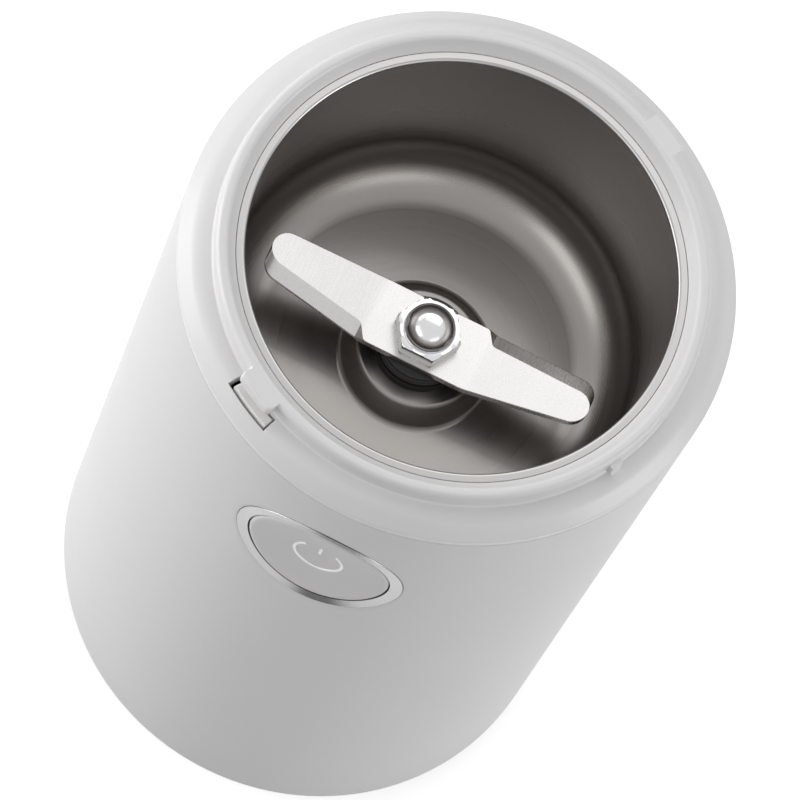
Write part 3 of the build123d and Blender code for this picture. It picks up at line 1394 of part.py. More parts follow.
# Cord clamp: bar across the cradle, with its two screws
with BuildPart() as cord_clamp:
    with BuildSketch(Plane.XY.offset(inlet_height - plug_gap)):
        with Locations((0, clamp_middle)):
            Rectangle(clamp_bar_length, clamp_far - clamp_near)
    extrude(amount=clamp_bar_height)
    with BuildSketch(Plane.XZ.offset(-clamp_near)):
        with Locations((0, inlet_height)):
            Circle(inlet_bore_radius + plug_gap)
    extrude(amount=clamp_near - clamp_far, mode=Mode.SUBTRACT)
    with BuildSketch(Plane.XY.offset(cover_top)):
        with Locations(*clamp_screw_places):
            Circle(clamp_screw_radius + press_gap)
    extrude(amount=outer_reach, mode=Mode.SUBTRACT)
cord_clamp.part.label = "cord_clamp"
export_step(cord_clamp.part, "parts/cord_clamp.step")

with BuildPart() as cord_clamp_screws:
    clamp_top = inlet_height - plug_gap + clamp_bar_height
    with BuildSketch(Plane.XY.offset(clamp_top)):
        with Locations(*clamp_screw_places):
            Circle(2 * clamp_screw_radius)
    extrude(amount=clamp_screw_radius)
    with BuildSketch(Plane.XY.offset(clamp_top)):
        with Locations(*clamp_screw_places):
            Circle(clamp_screw_radius)
    extrude(amount=cover_top + plug_gap - clamp_top)
cord_clamp_screws.part.label = "cord_clamp_screws"
export_step(cord_clamp_screws.part, "parts/cord_clamp_screws.step")

# Terminal block on the base cover
with BuildPart() as terminal_block:
    with BuildSketch(Plane.XY.offset(cover_top)):
        with Locations((terminal_inset - base_radius, 0)):
            Rectangle(terminal_width, terminal_length)
    extrude(amount=terminal_height)
    with BuildSketch(Plane.XY.offset(cover_top + terminal_height)):
        with Locations((terminal_inset - base_radius, 0)):
            with GridLocations(1, terminal_length / 2, 1, 2):
                Circle(terminal_screw_radius)
    extrude(amount=-terminal_height / 2, mode=Mode.SUBTRACT)
terminal_block.part.label = "terminal_block"
export_step(terminal_block.part, "parts/terminal_block.step")

# Circuit board upright in the body's two holders, with the suppression capacitor on it
with BuildPart() as circuit_board:
    with BuildSketch(Plane.XY.offset(board_foot_height)):
        with Locations((board_place + board_thickness / 2, 0)):
            Rectangle(board_thickness, board_width)
    extrude(amount=board_height)
circuit_board.part.label = "circuit_board"
export_step(circuit_board.part, "parts/circuit_board.step")

with BuildPart() as suppression_capacitor:
    with BuildSketch(Plane.XY.offset(board_foot_height + board_height / 2)):
        with Locations((board_place - capacitor_thickness / 2, 0)):
            RectangleRounded(capacitor_thickness, capacitor_width, capacitor_edge_radius)
    extrude(amount=capacitor_height)
suppression_capacitor.part.label = "suppression_capacitor"
export_step(suppression_capacitor.part, "parts/suppression_capacitor.step")

with BuildPart() as thermal_fuse:
    with BuildSketch(Plane.XY.offset(stator_foot_height + 2 * fuse_radius)):
        fuse_x = stator_length / 2 + fuse_radius + press_gap
        fuse_y = capacitor_width / 2 + fuse_radius + 2 * slide_gap
        with Locations((fuse_x, -fuse_y)):
            Circle(fuse_radius)
    extrude(amount=fuse_length)
thermal_fuse.part.label = "thermal_fuse"
export_step(thermal_fuse.part, "parts/thermal_fuse.step")
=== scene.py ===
import bmesh
import bpy
import numpy as np
from mathutils import Matrix, Vector


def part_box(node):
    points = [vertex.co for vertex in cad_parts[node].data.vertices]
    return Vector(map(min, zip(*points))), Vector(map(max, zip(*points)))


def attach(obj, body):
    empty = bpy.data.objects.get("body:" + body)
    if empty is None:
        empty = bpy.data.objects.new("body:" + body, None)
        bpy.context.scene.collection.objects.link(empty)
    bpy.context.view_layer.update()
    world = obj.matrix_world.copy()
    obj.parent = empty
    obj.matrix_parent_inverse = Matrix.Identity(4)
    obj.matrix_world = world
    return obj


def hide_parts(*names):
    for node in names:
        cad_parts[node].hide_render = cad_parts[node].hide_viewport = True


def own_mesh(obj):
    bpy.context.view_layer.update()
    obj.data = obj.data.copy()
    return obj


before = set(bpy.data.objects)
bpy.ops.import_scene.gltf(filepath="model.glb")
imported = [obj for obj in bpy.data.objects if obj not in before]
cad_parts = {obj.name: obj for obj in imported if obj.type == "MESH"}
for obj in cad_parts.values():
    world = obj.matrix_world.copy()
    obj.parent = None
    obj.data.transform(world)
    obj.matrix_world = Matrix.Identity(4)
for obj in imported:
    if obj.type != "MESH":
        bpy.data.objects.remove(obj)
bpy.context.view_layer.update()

# Looks of a small electric coffee grinder without its lid. Lengths are in millimetres until a mesh is made.
# An azimuth is in degrees from the front, which is -Y, and grows towards +X.
MM = 0.001


def box(node):
    """Lowest and highest corner of a CAD node, in millimetres."""
    low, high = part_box(node)
    return np.array(low) / MM, np.array(high) / MM


# Camera
# A long lens in front of and high above the grinder, rolled about its own line of sight,
# so that the upright body leans across the picture and the eye looks down into the bowl.
CAMERA_ELEVATION = 67.658
CAMERA_ROLL = -27.814
CAMERA_AZIMUTH = -1.6
CAMERA_DISTANCE = 1070.3
SHOULDER_RIGHT = 9.975
SHOULDER_UP = 21.350
FOCAL_PIXELS = 6635.3
PICTURE_PIXELS = 800
SENSOR = 36.0
SHOULDER_HEIGHT = 152.5

rise, roll, turn = np.radians([CAMERA_ELEVATION, CAMERA_ROLL, CAMERA_AZIMUTH])
backward = np.array([0, -np.cos(rise), np.sin(rise)])
rightward = np.array([1.0, 0, 0])
upward = np.cross(backward, rightward)
rolled = np.array([[np.cos(roll), -np.sin(roll), 0], [np.sin(roll), np.cos(roll), 0], [0, 0, 1]])
axes = rolled @ np.stack([rightward, upward, backward])
turned = np.array([[np.cos(turn), -np.sin(turn), 0], [np.sin(turn), np.cos(turn), 0], [0, 0, 1]])
stand = turned @ axes.T @ -np.array([SHOULDER_RIGHT, SHOULDER_UP, -CAMERA_DISTANCE])
stand = stand + np.array([0, 0, SHOULDER_HEIGHT])

camera_data = bpy.data.cameras.new("camera")
camera_data.sensor_width = SENSOR
camera_data.lens = FOCAL_PIXELS / PICTURE_PIXELS * SENSOR
camera_data.clip_start = 0.05
camera = bpy.data.objects.new("camera", camera_data)
camera.matrix_world = Matrix.Translation(stand * MM) @ Matrix((turned @ axes.T).tolist()).to_4x4()
bpy.context.scene.collection.objects.link(camera)
bpy.context.scene.camera = camera

# Body wall
# One tapered tube moulded in satin white plastic, with a round edge at the foot and a fine chamfer at the
# seam. In front it has a shallow round recess for the button's bezel, and behind it a hole for the grommet.
WALL_DRAFT = 1.0
WALL = 2.2
FOOT_EDGE = 1.8
SEAM_CHAMFER = 0.3
RECESS_RADIUS = 14.86
RECESS_DEPTH = 0.9
RECESS_HOLE = 14.1
RECESS_EDGE = 0.25
BUTTON_HEIGHT = 122.0
BUTTON_PATCH = 21.0
BUTTON_PATCH_ANGLE = 24.0
LEAD_HOLE = 5.45
LEAD_HEIGHT = 13.0
LEAD_PATCH = 9.0
LEAD_PATCH_ANGLE = 12.0
CRISP_EDGE = 0.05
SEAM_BAND = 0.6
COLUMN_STEP = 1.5
WELD = 0.001
GUARD = 0.03
ARC_STEPS = 6

body_low, body_high = box("body_shell")
collar_radius = body_high[0]
foot_height = body_low[2]
seam_height = body_high[2]
azimuths = np.arange(-180, 180.1, COLUMN_STEP)


def wall_radius(height):
    """Radius of the tapered outer wall: straight from the foot to the seam."""
    share = (height - foot_height) / (seam_height - foot_height)
    return collar_radius - WALL_DRAFT * (1 - share)


def rounded(corners, closed=True, steps=ARC_STEPS):
    """Outline through (x, y, radius) corners, each an arc tangent to its two sides.

    From tangent point a by corner c to tangent point b an arc is the rational quadratic
    (a(1-s)^2 + 2wcs(1-s) + bs^2) / ((1-s)^2 + 2ws(1-s) + s^2), where w is the cosine of half the turn.
    One more point lies just before it and one just after it, so that the flats beside it shade flat.
    """
    corners = np.array(corners, float)
    here, radius = corners[:, :2], corners[:, 2:]
    before = np.roll(here, 1, 0) - here
    after = np.roll(here, -1, 0) - here
    if not closed:
        before[0] = -1e-9 * after[0]
        after[-1] = -1e-9 * before[-1]
    side_before = np.linalg.norm(before, axis=1, keepdims=True)
    side_after = np.linalg.norm(after, axis=1, keepdims=True)
    before, after = before / side_before, after / side_after
    turn = np.pi - np.arccos(np.clip((before * after).sum(1, keepdims=True), -1, 1))
    reach = radius * np.tan(turn / 2)
    first, last = here + before * reach, here + after * reach
    s = np.linspace(0, 1, steps + 1)[:, None, None]
    w = np.cos(turn / 2)
    weight = (1 - s) ** 2 + 2 * w * s * (1 - s) + s**2
    arc = (first * (1 - s) ** 2 + 2 * w * here * s * (1 - s) + last * s**2) / weight
    early = first + before * np.minimum(GUARD, side_before / 4)
    late = last + after * np.minimum(GUARD, side_after / 4)
    outline = np.concatenate([early[None], arc, late[None]]).transpose(1, 0, 2).reshape(-1, 2)
    return np.append(outline, outline[:1], axis=0) if closed else outline


def turned_points(radius, azimuth, height):
    """Points at a radius, an azimuth and a height, from arrays that broadcast: (r sin a, -r cos a, z)."""
    angle = np.radians(azimuth)
    radius, angle, height = np.broadcast_arrays(radius, angle, height)
    return np.stack([radius * np.sin(angle), -radius * np.cos(angle), height], -1)


def revolved(outline, azimuths=azimuths):
    """Grid of an outline of (radius, height) turned to each azimuth."""
    return turned_points(outline[:, None, 0], azimuths[None], outline[:, None, 1])


def surface(name, grids, crease=32.0):
    """A closed mesh from grids of points, each given alone or with a mask of the faces to keep.

    Every four neighbours of a grid make a face. Points that meet are merged, and faces are turned outwards.
    """
    vertices, faces, count = [], [], 0
    for grid in grids:
        points, keep = grid if isinstance(grid, tuple) else (grid, None)
        index = count + np.arange(points[..., 0].size).reshape(points.shape[:2])
        quads = np.stack([index[:-1, :-1], index[:-1, 1:], index[1:, 1:], index[1:, :-1]], -1)
        faces.append(quads.reshape(-1, 4) if keep is None else quads[keep])
        vertices.append(points.reshape(-1, 3))
        count += len(vertices[-1])
    mesh = bpy.data.meshes.new(name)
    mesh.from_pydata((np.concatenate(vertices) * MM).tolist(), [], np.concatenate(faces).tolist())
    work = bmesh.new()
    work.from_mesh(mesh)
    bmesh.ops.remove_doubles(work, verts=work.verts, dist=WELD * MM)
    bmesh.ops.dissolve_degenerate(work, edges=work.edges, dist=WELD * MM / 10)
    bmesh.ops.recalc_face_normals(work, faces=work.faces)
    work.to_mesh(mesh)
    work.free()
    mesh.shade_smooth()
    mesh.set_sharp_from_angle(angle=np.radians(crease))
    piece = bpy.data.objects.new(name, mesh)
    bpy.context.scene.collection.objects.link(piece)
    return piece


def fitted(piece, finish, body, slot, *nodes):
    """Gives a piece its material, the body it rides on and the CAD nodes it stands for. slot is not used."""
    piece.data.materials.clear()
    piece.data.materials.append(finish.material)
    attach(piece, body)
    if nodes:
        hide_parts(*nodes)
    return piece


class Amount:
    """A number that a material works out: + - * / and ** on it add Math nodes."""

    def __init__(self, finish, socket):
        self.finish = finish
        self.socket = socket

    def math(self, operation, first, second=0.0):
        node = self.finish.node("ShaderNodeMath", {"operation": operation}, {0: first, 1: second})
        return Amount(self.finish, node.outputs[0])

    def __add__(self, other):
        return self.math("ADD", self, other)

    def __sub__(self, other):
        return self.math("SUBTRACT", self, other)

    def __rsub__(self, other):
        return self.math("SUBTRACT", other, self)

    def __mul__(self, other):
        return self.math("MULTIPLY", self, other)

    def __truediv__(self, other):
        return self.math("DIVIDE", self, other)

    def __rtruediv__(self, other):
        return self.math("DIVIDE", other, self)

    def __pow__(self, other):
        return self.math("POWER", self, other)

    __radd__ = __add__
    __rmul__ = __mul__


class Finish:
    """One material: a Principled shader, node() for every other node, and short names for common ones."""

    def __init__(self, name, **constants):
        self.material = bpy.data.materials.new(name)
        self.material.use_nodes = True
        self.tree = self.material.node_tree
        self.shader = self.tree.nodes["Principled BSDF"]
        for key, value in constants.items():
            self.shader.inputs[key.replace("_", " ")].default_value = value

    def node(self, kind, settings, values):
        """A node of a type, with its settings made first and then the values or links of its sockets."""
        node = self.tree.nodes.new(kind)
        for key, value in settings.items():
            setattr(node, key, value)
        for key, value in values.items():
            self.feed(node.inputs[key], value)
        return node

    def feed(self, socket, value):
        """Links a value that varies to a socket, or sets a plain one."""
        value = value.socket if isinstance(value, Amount) else value
        if isinstance(value, bpy.types.NodeSocket):
            self.tree.links.new(value, socket)
        else:
            socket.default_value = value

    def place(self, scale=(1, 1, 1)):
        """Object coordinates in metres, stretched by a scale along each axis."""
        here = self.node("ShaderNodeTexCoord", {}, {}).outputs["Object"]
        mapping = self.node("ShaderNodeMapping", {}, {"Vector": here, "Scale": scale})
        return mapping.outputs["Vector"]

    def noise(self, scale, detail=2.0, place=None):
        """Noise from 0 to 1 with features of about 1/scale metres."""
        values = {"Vector": place or self.place(), "Scale": scale, "Detail": detail}
        return Amount(self, self.node("ShaderNodeTexNoise", {}, values).outputs["Fac"])

    def between(self, share, low, high):
        """A colour from low, plain or worked out, to a plain high one by a share."""
        low = low if isinstance(low, bpy.types.NodeSocket) else (*low, 1.0)
        values = {"Factor": share, "A": low, "B": (*high, 1.0)}
        node = self.tree.nodes.new("ShaderNodeMix")
        node.data_type = "RGBA"
        for socket in node.inputs:
            if socket.enabled and socket.name in values:
                self.feed(socket, values[socket.name])
        return next(socket for socket in node.outputs if socket.enabled)

    def bump(self, height, depth):
        """The surface's normal bent by a height from 0 to 1 that stands for a depth in millimetres."""
        values = {"Height": height, "Distance": depth * MM}
        return self.node("ShaderNodeBump", {}, values).outputs["Normal"]

    def set(self, **varying):
        """Feeds the shader's sockets."""
        for key, value in varying.items():
            self.feed(self.shader.inputs[key.replace("_", " ")], value)
        return self


def moulded(name, colour, roughness, grain=2600, depth=0.0035, fade=0.96, **constants):
    """Moulded plastic: a fine even grain, slow changes of tone, and a gloss that varies a little."""
    finish = Finish(name, IOR=1.49, **constants)
    tone = finish.noise(18, 3)
    flow = finish.noise(70, 4)
    skin = finish.noise(grain, 2)
    darker = tuple(channel * fade for channel in colour)
    return finish.set(
        Base_Color=finish.between(tone, darker, colour),
        Roughness=flow * 0.09 + (roughness - 0.045),
        Normal=finish.bump(skin, depth),
    )


shell_plastic = moulded("satin white shell plastic", (0.765, 0.754, 0.757), 0.4, Specular_IOR_Level=0.36)


def pierced(outer_rim, inner_rim, height, facing, path):
    """Grid that closes a square cut in the wall around a round hole along Y.

    path has rows of (spread, radius, inset, depth). A ring's points lie in the directions of the cut's rim,
    at the radius for spread 0 and on the rim for spread 1. y is the wall's radius there less the inset, and
    depth goes from 0 on the outer face of the wall to 1 on its inner face.
    """
    spread, radius, inset, depth = np.array(path)[:, :, None].transpose(1, 0, 2)
    rim = outer_rim[None, :, ::2] * (1 - depth[..., None]) + inner_rim[None, :, ::2] * depth[..., None]
    away = outer_rim[:, ::2] - [0, height]
    away = away / np.linalg.norm(away, axis=1, keepdims=True)
    circle = [0, height] + away * radius[..., None]
    level = circle + (rim - circle) * spread[..., None]
    face = wall_radius(level[..., 1]) - WALL * depth
    y = facing * (np.sqrt(face**2 - level[..., 0] ** 2) - inset)
    grid = np.stack([level[..., 0], y, level[..., 1]], -1)
    return np.append(grid, grid[:, :1], axis=1)


def rim_of(block):
    """The outer points of a block of a grid, once around."""
    return np.concatenate([block[0, :-1], block[:-1, -1], block[-1, :0:-1], block[:0:-1, 0]])


def lip(radius, edge, steps=4):
    """Rows of a hole's rounded edge, from the face of the wall into the hole, for pierced()."""
    angle = np.linspace(0, np.pi / 2, steps + 1)
    radius, inset = radius + edge * (1 - np.sin(angle)), edge * (1 - np.cos(angle))
    return np.stack([angle * 0, radius, inset, angle * 0], 1).tolist()


def hole_path(radius, edge, recess=None):
    """Path of pierced() from the cut over a rounded edge, by a recess if there is one, to the inside."""
    spread = np.linspace(1, 0, 6)[:-1]
    rows = [[s, radius + edge, 0, 0] for s in spread]
    rows += lip(radius, edge)
    hole = radius
    if recess:
        depth, hole = recess
        rows += [[0, radius, depth, 0], [0, hole, depth, 0]]
    rows += [[s, hole, 0, 1] for s in spread[::-1] - spread[-1]]
    return rows + [[1, hole, 0, 1]]


heights = np.concatenate([
    np.linspace(LEAD_HEIGHT - LEAD_PATCH, LEAD_HEIGHT + LEAD_PATCH, 13),
    np.linspace(LEAD_HEIGHT + LEAD_PATCH, BUTTON_HEIGHT - BUTTON_PATCH, 23)[1:],
    np.linspace(BUTTON_HEIGHT - BUTTON_PATCH, BUTTON_HEIGHT + BUTTON_PATCH, 25)[1:],
    np.linspace(BUTTON_HEIGHT + BUTTON_PATCH, seam_height - SEAM_BAND, 4)[1:],
])
outer_face = np.stack([wall_radius(heights), heights], 1)
inner_face = outer_face[::-1] - [WALL, 0]
seam_edge = rounded([
    (*outer_face[-1], 0),
    (wall_radius(seam_height - SEAM_CHAMFER), seam_height - SEAM_CHAMFER, CRISP_EDGE),
    (collar_radius - SEAM_CHAMFER, seam_height, CRISP_EDGE),
    (collar_radius - WALL, seam_height, 0),
    (*inner_face[0], 0),
], closed=False)
foot_edge = rounded([
    (*inner_face[-1], 0),
    (wall_radius(foot_height) - WALL, foot_height, 0),
    (wall_radius(foot_height), foot_height, FOOT_EDGE),
    (*outer_face[0], 0),
], closed=False)
wall_outline = np.concatenate([outer_face, seam_edge, inner_face, foot_edge])
wall_grid = revolved(wall_outline)
wall_keep = np.ones((len(wall_outline) - 1, len(azimuths) - 1), bool)
patches = []
inner_start = len(outer_face) + len(seam_edge)
for middle, half, angle, facing, path in (
    (BUTTON_HEIGHT, BUTTON_PATCH, BUTTON_PATCH_ANGLE, -1,
     hole_path(RECESS_RADIUS, RECESS_EDGE, (RECESS_DEPTH, RECESS_HOLE))),
    (LEAD_HEIGHT, LEAD_PATCH, LEAD_PATCH_ANGLE, 1, hole_path(LEAD_HOLE, RECESS_EDGE)),
):
    rows = np.flatnonzero(np.abs(heights - middle) < half + WELD)
    columns = np.flatnonzero(np.abs(azimuths) < angle + WELD)
    if facing > 0:
        columns = (columns + len(azimuths) // 2) % (len(azimuths) - 1)
    back_rows = inner_start + len(heights) - 1 - rows
    cells = np.ix_(rows[:-1], columns[:-1])
    back_cells = np.ix_(back_rows[1:], columns[:-1])
    wall_keep[cells] = False
    wall_keep[back_cells] = False
    outer_rim = rim_of(wall_grid[np.ix_(rows, columns)])
    inner_rim = rim_of(wall_grid[np.ix_(back_rows, columns)])
    patches.append(pierced(outer_rim, inner_rim, middle, facing, path))

body_wall = surface("body_wall", [(wall_grid, wall_keep), *patches])
fitted(body_wall, shell_plastic, "housing", "white_plastic", "body_shell")

# Top ring
# Collar, crowned shoulder and neck in one white moulding that plugs into the body wall with a thin skirt.
# The lid turns on under the neck's two lugs, a small rib clicks it home, and its tongue goes into a slot
# under the front lug, on to the interlock. The funnel inside the neck leads down to the bowl's rim.
NECK_RADIUS = 40.6
NECK_EDGE = 0.85
NECK_FOOT = 0.45
LAND_INNER = 38.8
FUNNEL_EDGE = 1.0
COLLAR_EDGE = 0.5
CROWN_INSET = 2.4
CROWN_DROP = 2.5
CROWN_RADIUS = 4.4
SLOT_ROWS = 10
LUG_AZIMUTHS = (-29.5, 150.5)
LUG_ANGLE = 10.2
LUG_REACH = 2.1
LUG_RISE = 1.7
LUG_CORNER = 0.7
LUG_ROOT = 0.4
RIB_AZIMUTH = 61.3
RIB_WIDTH = 2.2
RIB_REACH = 1.0
RIB_RISE = 2.4
SLOT_AZIMUTH = -29.05
SLOT_ANGLE = 12.5
SLOT_INNER = 41.15
SLOT_OUTER = 43.65
SLOT_LIP = 0.2
SHOULDER_THICKNESS = 2.4
SKIRT_INNER = 41.75
SKIRT_OUTER = 43.6
SKIRT_DEPTH = 6.0
SKIRT_OVERLAP = 0.4
LEDGE_RADIUS = 36.6
LEDGE_DROP = 2.2
FUNNEL_FOOT = 37.15
SLIVER = 0.05
LUG_EDGE = 0.15
RIB_ROOT = 0.2
COLUMN_MARGIN = 0.3
COLUMN_GAP = 0.1
BOSS_RADIUS = 3.3
BOSS_RING = 39.9
BOSS_DROP = 11.5

neck_top = box("top_ring")[1][2]
rim_top = box("grinding_bowl")[1][2]
shoulder = SHOULDER_HEIGHT
underside = shoulder - SHOULDER_THICKNESS
ledge_height = rim_top - LEDGE_DROP
lug_radius = NECK_RADIUS + LUG_REACH
lug_foot = shoulder + LUG_RISE
rib_top = shoulder + RIB_RISE

crown_corner = NECK_RADIUS + CROWN_INSET
crown_slope = np.arctan2(CROWN_DROP, collar_radius - crown_corner)
crown_reach = CROWN_RADIUS * np.tan(crown_slope / 2)


def crown(radius):
    """Height of the shoulder at a radius: flat, then an arc tangent to both sides, then a slope down."""
    into = radius - crown_corner
    past = np.clip(into + crown_reach, 0, CROWN_RADIUS)
    arc = shoulder - CROWN_RADIUS + np.sqrt(CROWN_RADIUS**2 - past**2)
    return np.where(into < crown_reach * np.cos(crown_slope), arc, shoulder - into * np.tan(crown_slope))


under_radii = np.linspace(SLOT_INNER, SKIRT_OUTER, SLOT_ROWS - 2)
lower_rows = np.array([
    (LEDGE_RADIUS, underside),
    *np.stack([under_radii, under_radii * 0 + underside], 1),
    (SKIRT_OUTER, seam_height),
    (SLOT_OUTER, seam_height),
])
slope_start = SKIRT_OUTER + 1.0
edge_rows = rounded([
    (SLOT_OUTER + 2 * SLIVER, seam_height, 0),
    (collar_radius - SEAM_CHAMFER, seam_height, CRISP_EDGE),
    (collar_radius, seam_height + SEAM_CHAMFER, CRISP_EDGE),
    (collar_radius, crown(collar_radius), COLLAR_EDGE),
    (slope_start, crown(slope_start), 0),
], closed=False)
crown_radii = np.append(
    np.linspace(slope_start - SLIVER, SLOT_OUTER + SLOT_LIP + SLIVER, 6),
    np.linspace(SLOT_OUTER + SLOT_LIP, SLOT_INNER - SLIVER, SLOT_ROWS)[:-1],
)
crown_rows = np.stack([crown_radii, crown(crown_radii)], 1)
neck_corners = np.array([
    (SLOT_INNER - SLIVER, shoulder, 0),
    (NECK_RADIUS, shoulder, NECK_FOOT),
    (NECK_RADIUS, lug_foot, 0),
    (lug_radius, lug_foot, LUG_EDGE),
    (lug_radius, rib_top, 0),
    (lug_radius, rib_top + WELD, 0),
    (lug_radius, neck_top, NECK_EDGE),
    (LAND_INNER, neck_top, FUNNEL_EDGE),
    (FUNNEL_FOOT, rim_top, CRISP_EDGE),
    (FUNNEL_FOOT, ledge_height, 0),
    (LEDGE_RADIUS, ledge_height, 0),
    (LEDGE_RADIUS, underside, 0),
])
neck_rows = rounded(neck_corners, closed=False)

# How far each row of the outline follows the lugs and the rib, from 0 to 1.
group = np.repeat(np.arange(len(neck_corners)), ARC_STEPS + 3)
lug_share = np.select(
    [group < 2, group < 6, group == 6],
    [0, (neck_rows[:, 0] - NECK_RADIUS) / LUG_REACH, 1],
    0,
)
rib_share = np.where(group < 5, 1.0, 0.0)
ring_rows = np.concatenate([lower_rows, edge_rows, crown_rows, neck_rows])
ahead = len(ring_rows) - len(neck_rows)
crown_start = ahead - len(crown_rows)
crown_share = (crown_radii[0] - crown_radii) / (crown_radii[0] - SLOT_INNER)
lug_share = np.append(np.zeros(ahead), lug_share)
rib_share = np.concatenate([np.zeros(crown_start), crown_share, rib_share])


def around_neck(azimuth, width, reach, corner, root):
    """Plan of one feature of the neck as rows of (azimuth, reach), rounded in (arc length, reach)."""
    half, margin = width / 2, root + COLUMN_MARGIN
    plan = rounded([
        (-half - margin, 0, 0),
        (-half, 0, root),
        (-half, reach, corner),
        (half, reach, corner),
        (half, 0, root),
        (half + margin, 0, 0),
    ], closed=False)
    return np.stack([azimuth + np.degrees(plan[:, 0] / NECK_RADIUS), plan[:, 1]], 1)


def end_caps(grid):
    """Fans that close the first and the last section of a grid, each about its own middle."""
    return [np.stack([grid[place], np.broadcast_to(grid[place, :-1].mean(0), grid[place].shape)])
            for place in (0, -1)]


# Columns of the ring: azimuth, the lugs' reach and the rib's reach there.
lug_width = np.radians(LUG_ANGLE) * NECK_RADIUS
features = []
for azimuth in LUG_AZIMUTHS:
    plan = around_neck(azimuth, lug_width, LUG_REACH, LUG_CORNER, LUG_ROOT)
    features.append(np.insert(plan, 2, 0, axis=1))
rib_plan = around_neck(RIB_AZIMUTH, RIB_WIDTH, RIB_REACH, RIB_WIDTH / 5, RIB_ROOT)
features.append(np.insert(rib_plan, 1, 0, axis=1))
features.sort(key=lambda plan: plan[0, 0])
columns = np.concatenate(features)
clear = np.abs(azimuths[:, None] - columns[:, 0]).min(1) > COLUMN_GAP
slot_low, slot_high = SLOT_AZIMUTH - SLOT_ANGLE / 2, SLOT_AZIMUTH + SLOT_ANGLE / 2
lip_angle = np.degrees(SLOT_LIP / SLOT_OUTER)
slot_edges = [slot_low - lip_angle, slot_low, slot_high, slot_high + lip_angle]
for extra in (azimuths[clear], np.array(slot_edges)):
    reaches = [np.interp(extra, columns[:, 0], columns[:, side]) for side in (1, 2)]
    places = np.searchsorted(columns[:, 0], extra)
    columns = np.insert(columns, places, np.stack([extra, *reaches], 1), axis=0)
azimuth, lug_reach, rib_reach = columns.T

# The ring leaves the slot's two openings out, and a wall with a round lip joins them.
radius = ring_rows[:, :1] - lug_share[:, None] * (LUG_REACH - lug_reach) + rib_share[:, None] * rib_reach
height = ring_rows[:, 1:] + 0 * radius
height[crown_start:ahead] = crown(radius[crown_start:ahead])
ring_grid = np.stack(np.broadcast_arrays(radius, azimuth[None], height), -1)
ring_keep = np.ones((ring_grid.shape[0] - 1, ring_grid.shape[1] - 1), bool)
edge_columns = [int(np.abs(azimuth - edge).argmin()) for edge in slot_edges]
under_rows = np.arange(1, SLOT_ROWS + 1)
over_rows = np.arange(ahead - SLOT_ROWS + 1, ahead + 1)
under_columns = np.arange(edge_columns[1], edge_columns[2] + 1)
over_columns = np.arange(edge_columns[0], edge_columns[3] + 1)
ring_keep[np.ix_(under_rows[:-1], under_columns[:-1])] = False
ring_keep[np.ix_(over_rows[:-1], over_columns[:-1])] = False
over_rim = rim_of(ring_grid[np.ix_(over_rows, over_columns)])
held_columns = over_columns.clip(edge_columns[1], edge_columns[2])
under_rim = rim_of(ring_grid[np.ix_(under_rows[::-1], held_columns)])
lip_turn = np.linspace(0, np.pi / 2, 5)[:, None, None]
slot_wall = under_rim + (over_rim - under_rim) * (1 - np.sin(lip_turn))
slot_wall[..., 2] = over_rim[:, 2] - SLOT_LIP * (1 - np.cos(lip_turn[..., 0]))
slot_wall = np.concatenate([slot_wall, under_rim[None]])
slot_wall = np.append(slot_wall, slot_wall[:, :1], axis=1)

skirt_outline = rounded([
    (SKIRT_INNER, seam_height - SKIRT_DEPTH, 0.3),
    (SKIRT_OUTER, seam_height - SKIRT_DEPTH, 0.5),
    (SKIRT_OUTER, underside + SKIRT_OVERLAP, 0),
    (SKIRT_INNER, underside + SKIRT_OVERLAP, 0),
])
skirt_turns = np.arange(slot_high + lip_angle, slot_low + 360 - lip_angle, COLUMN_STEP)
skirt_grid = revolved(skirt_outline, skirt_turns)
boss_outline = rounded([
    (0, underside + SKIRT_OVERLAP, 0),
    (BOSS_RADIUS, underside + SKIRT_OVERLAP, 0),
    (BOSS_RADIUS, shoulder - BOSS_DROP, 0.3),
    (0, shoulder - BOSS_DROP, 0),
], closed=False)
boss_places = turned_points(BOSS_RING, np.arange(45, 360, 90), 0)
bosses = [revolved(boss_outline, np.arange(0, 361, 10)) + place for place in boss_places]
white_plastic = moulded("glossier white plastic", (0.86, 0.85, 0.853), 0.3)
top_ring = surface("top_ring_surface", [
    (turned_points(*np.moveaxis(ring_grid, -1, 0)), ring_keep),
    turned_points(*np.moveaxis(slot_wall, -1, 0)),
    skirt_grid, *end_caps(skirt_grid.transpose(1, 0, 2)), *bosses,
])
fitted(top_ring, white_plastic, "housing", "white_plastic", "top_ring")

# Grinding bowl
# Deep-drawn stainless cup with a rolled rim, a large radius round the floor and a raised middle that
# holds the shaft seal. It is polished in the lathe, so that fine lines run round its wall and floor.
BOWL_RADIUS = 35.5
BOWL_WALL = 0.8
BOWL_CORNER = 9.0
RIM_RADIUS = 37.1
RIM_THICKNESS = 1.2
RIM_ROLL = 0.55
RIM_EDGE = 0.12
BOWL_FLOOR = 110.8
HUB_CONE_FOOT = 13.0
HUB_CONE_TOP = 10.5
HUB_CONE_HEIGHT = 4.0
HUB_CONE_EDGE = 0.9
HUB_CONE_ROOT = 1.2
SEAL_BORE = 6.4

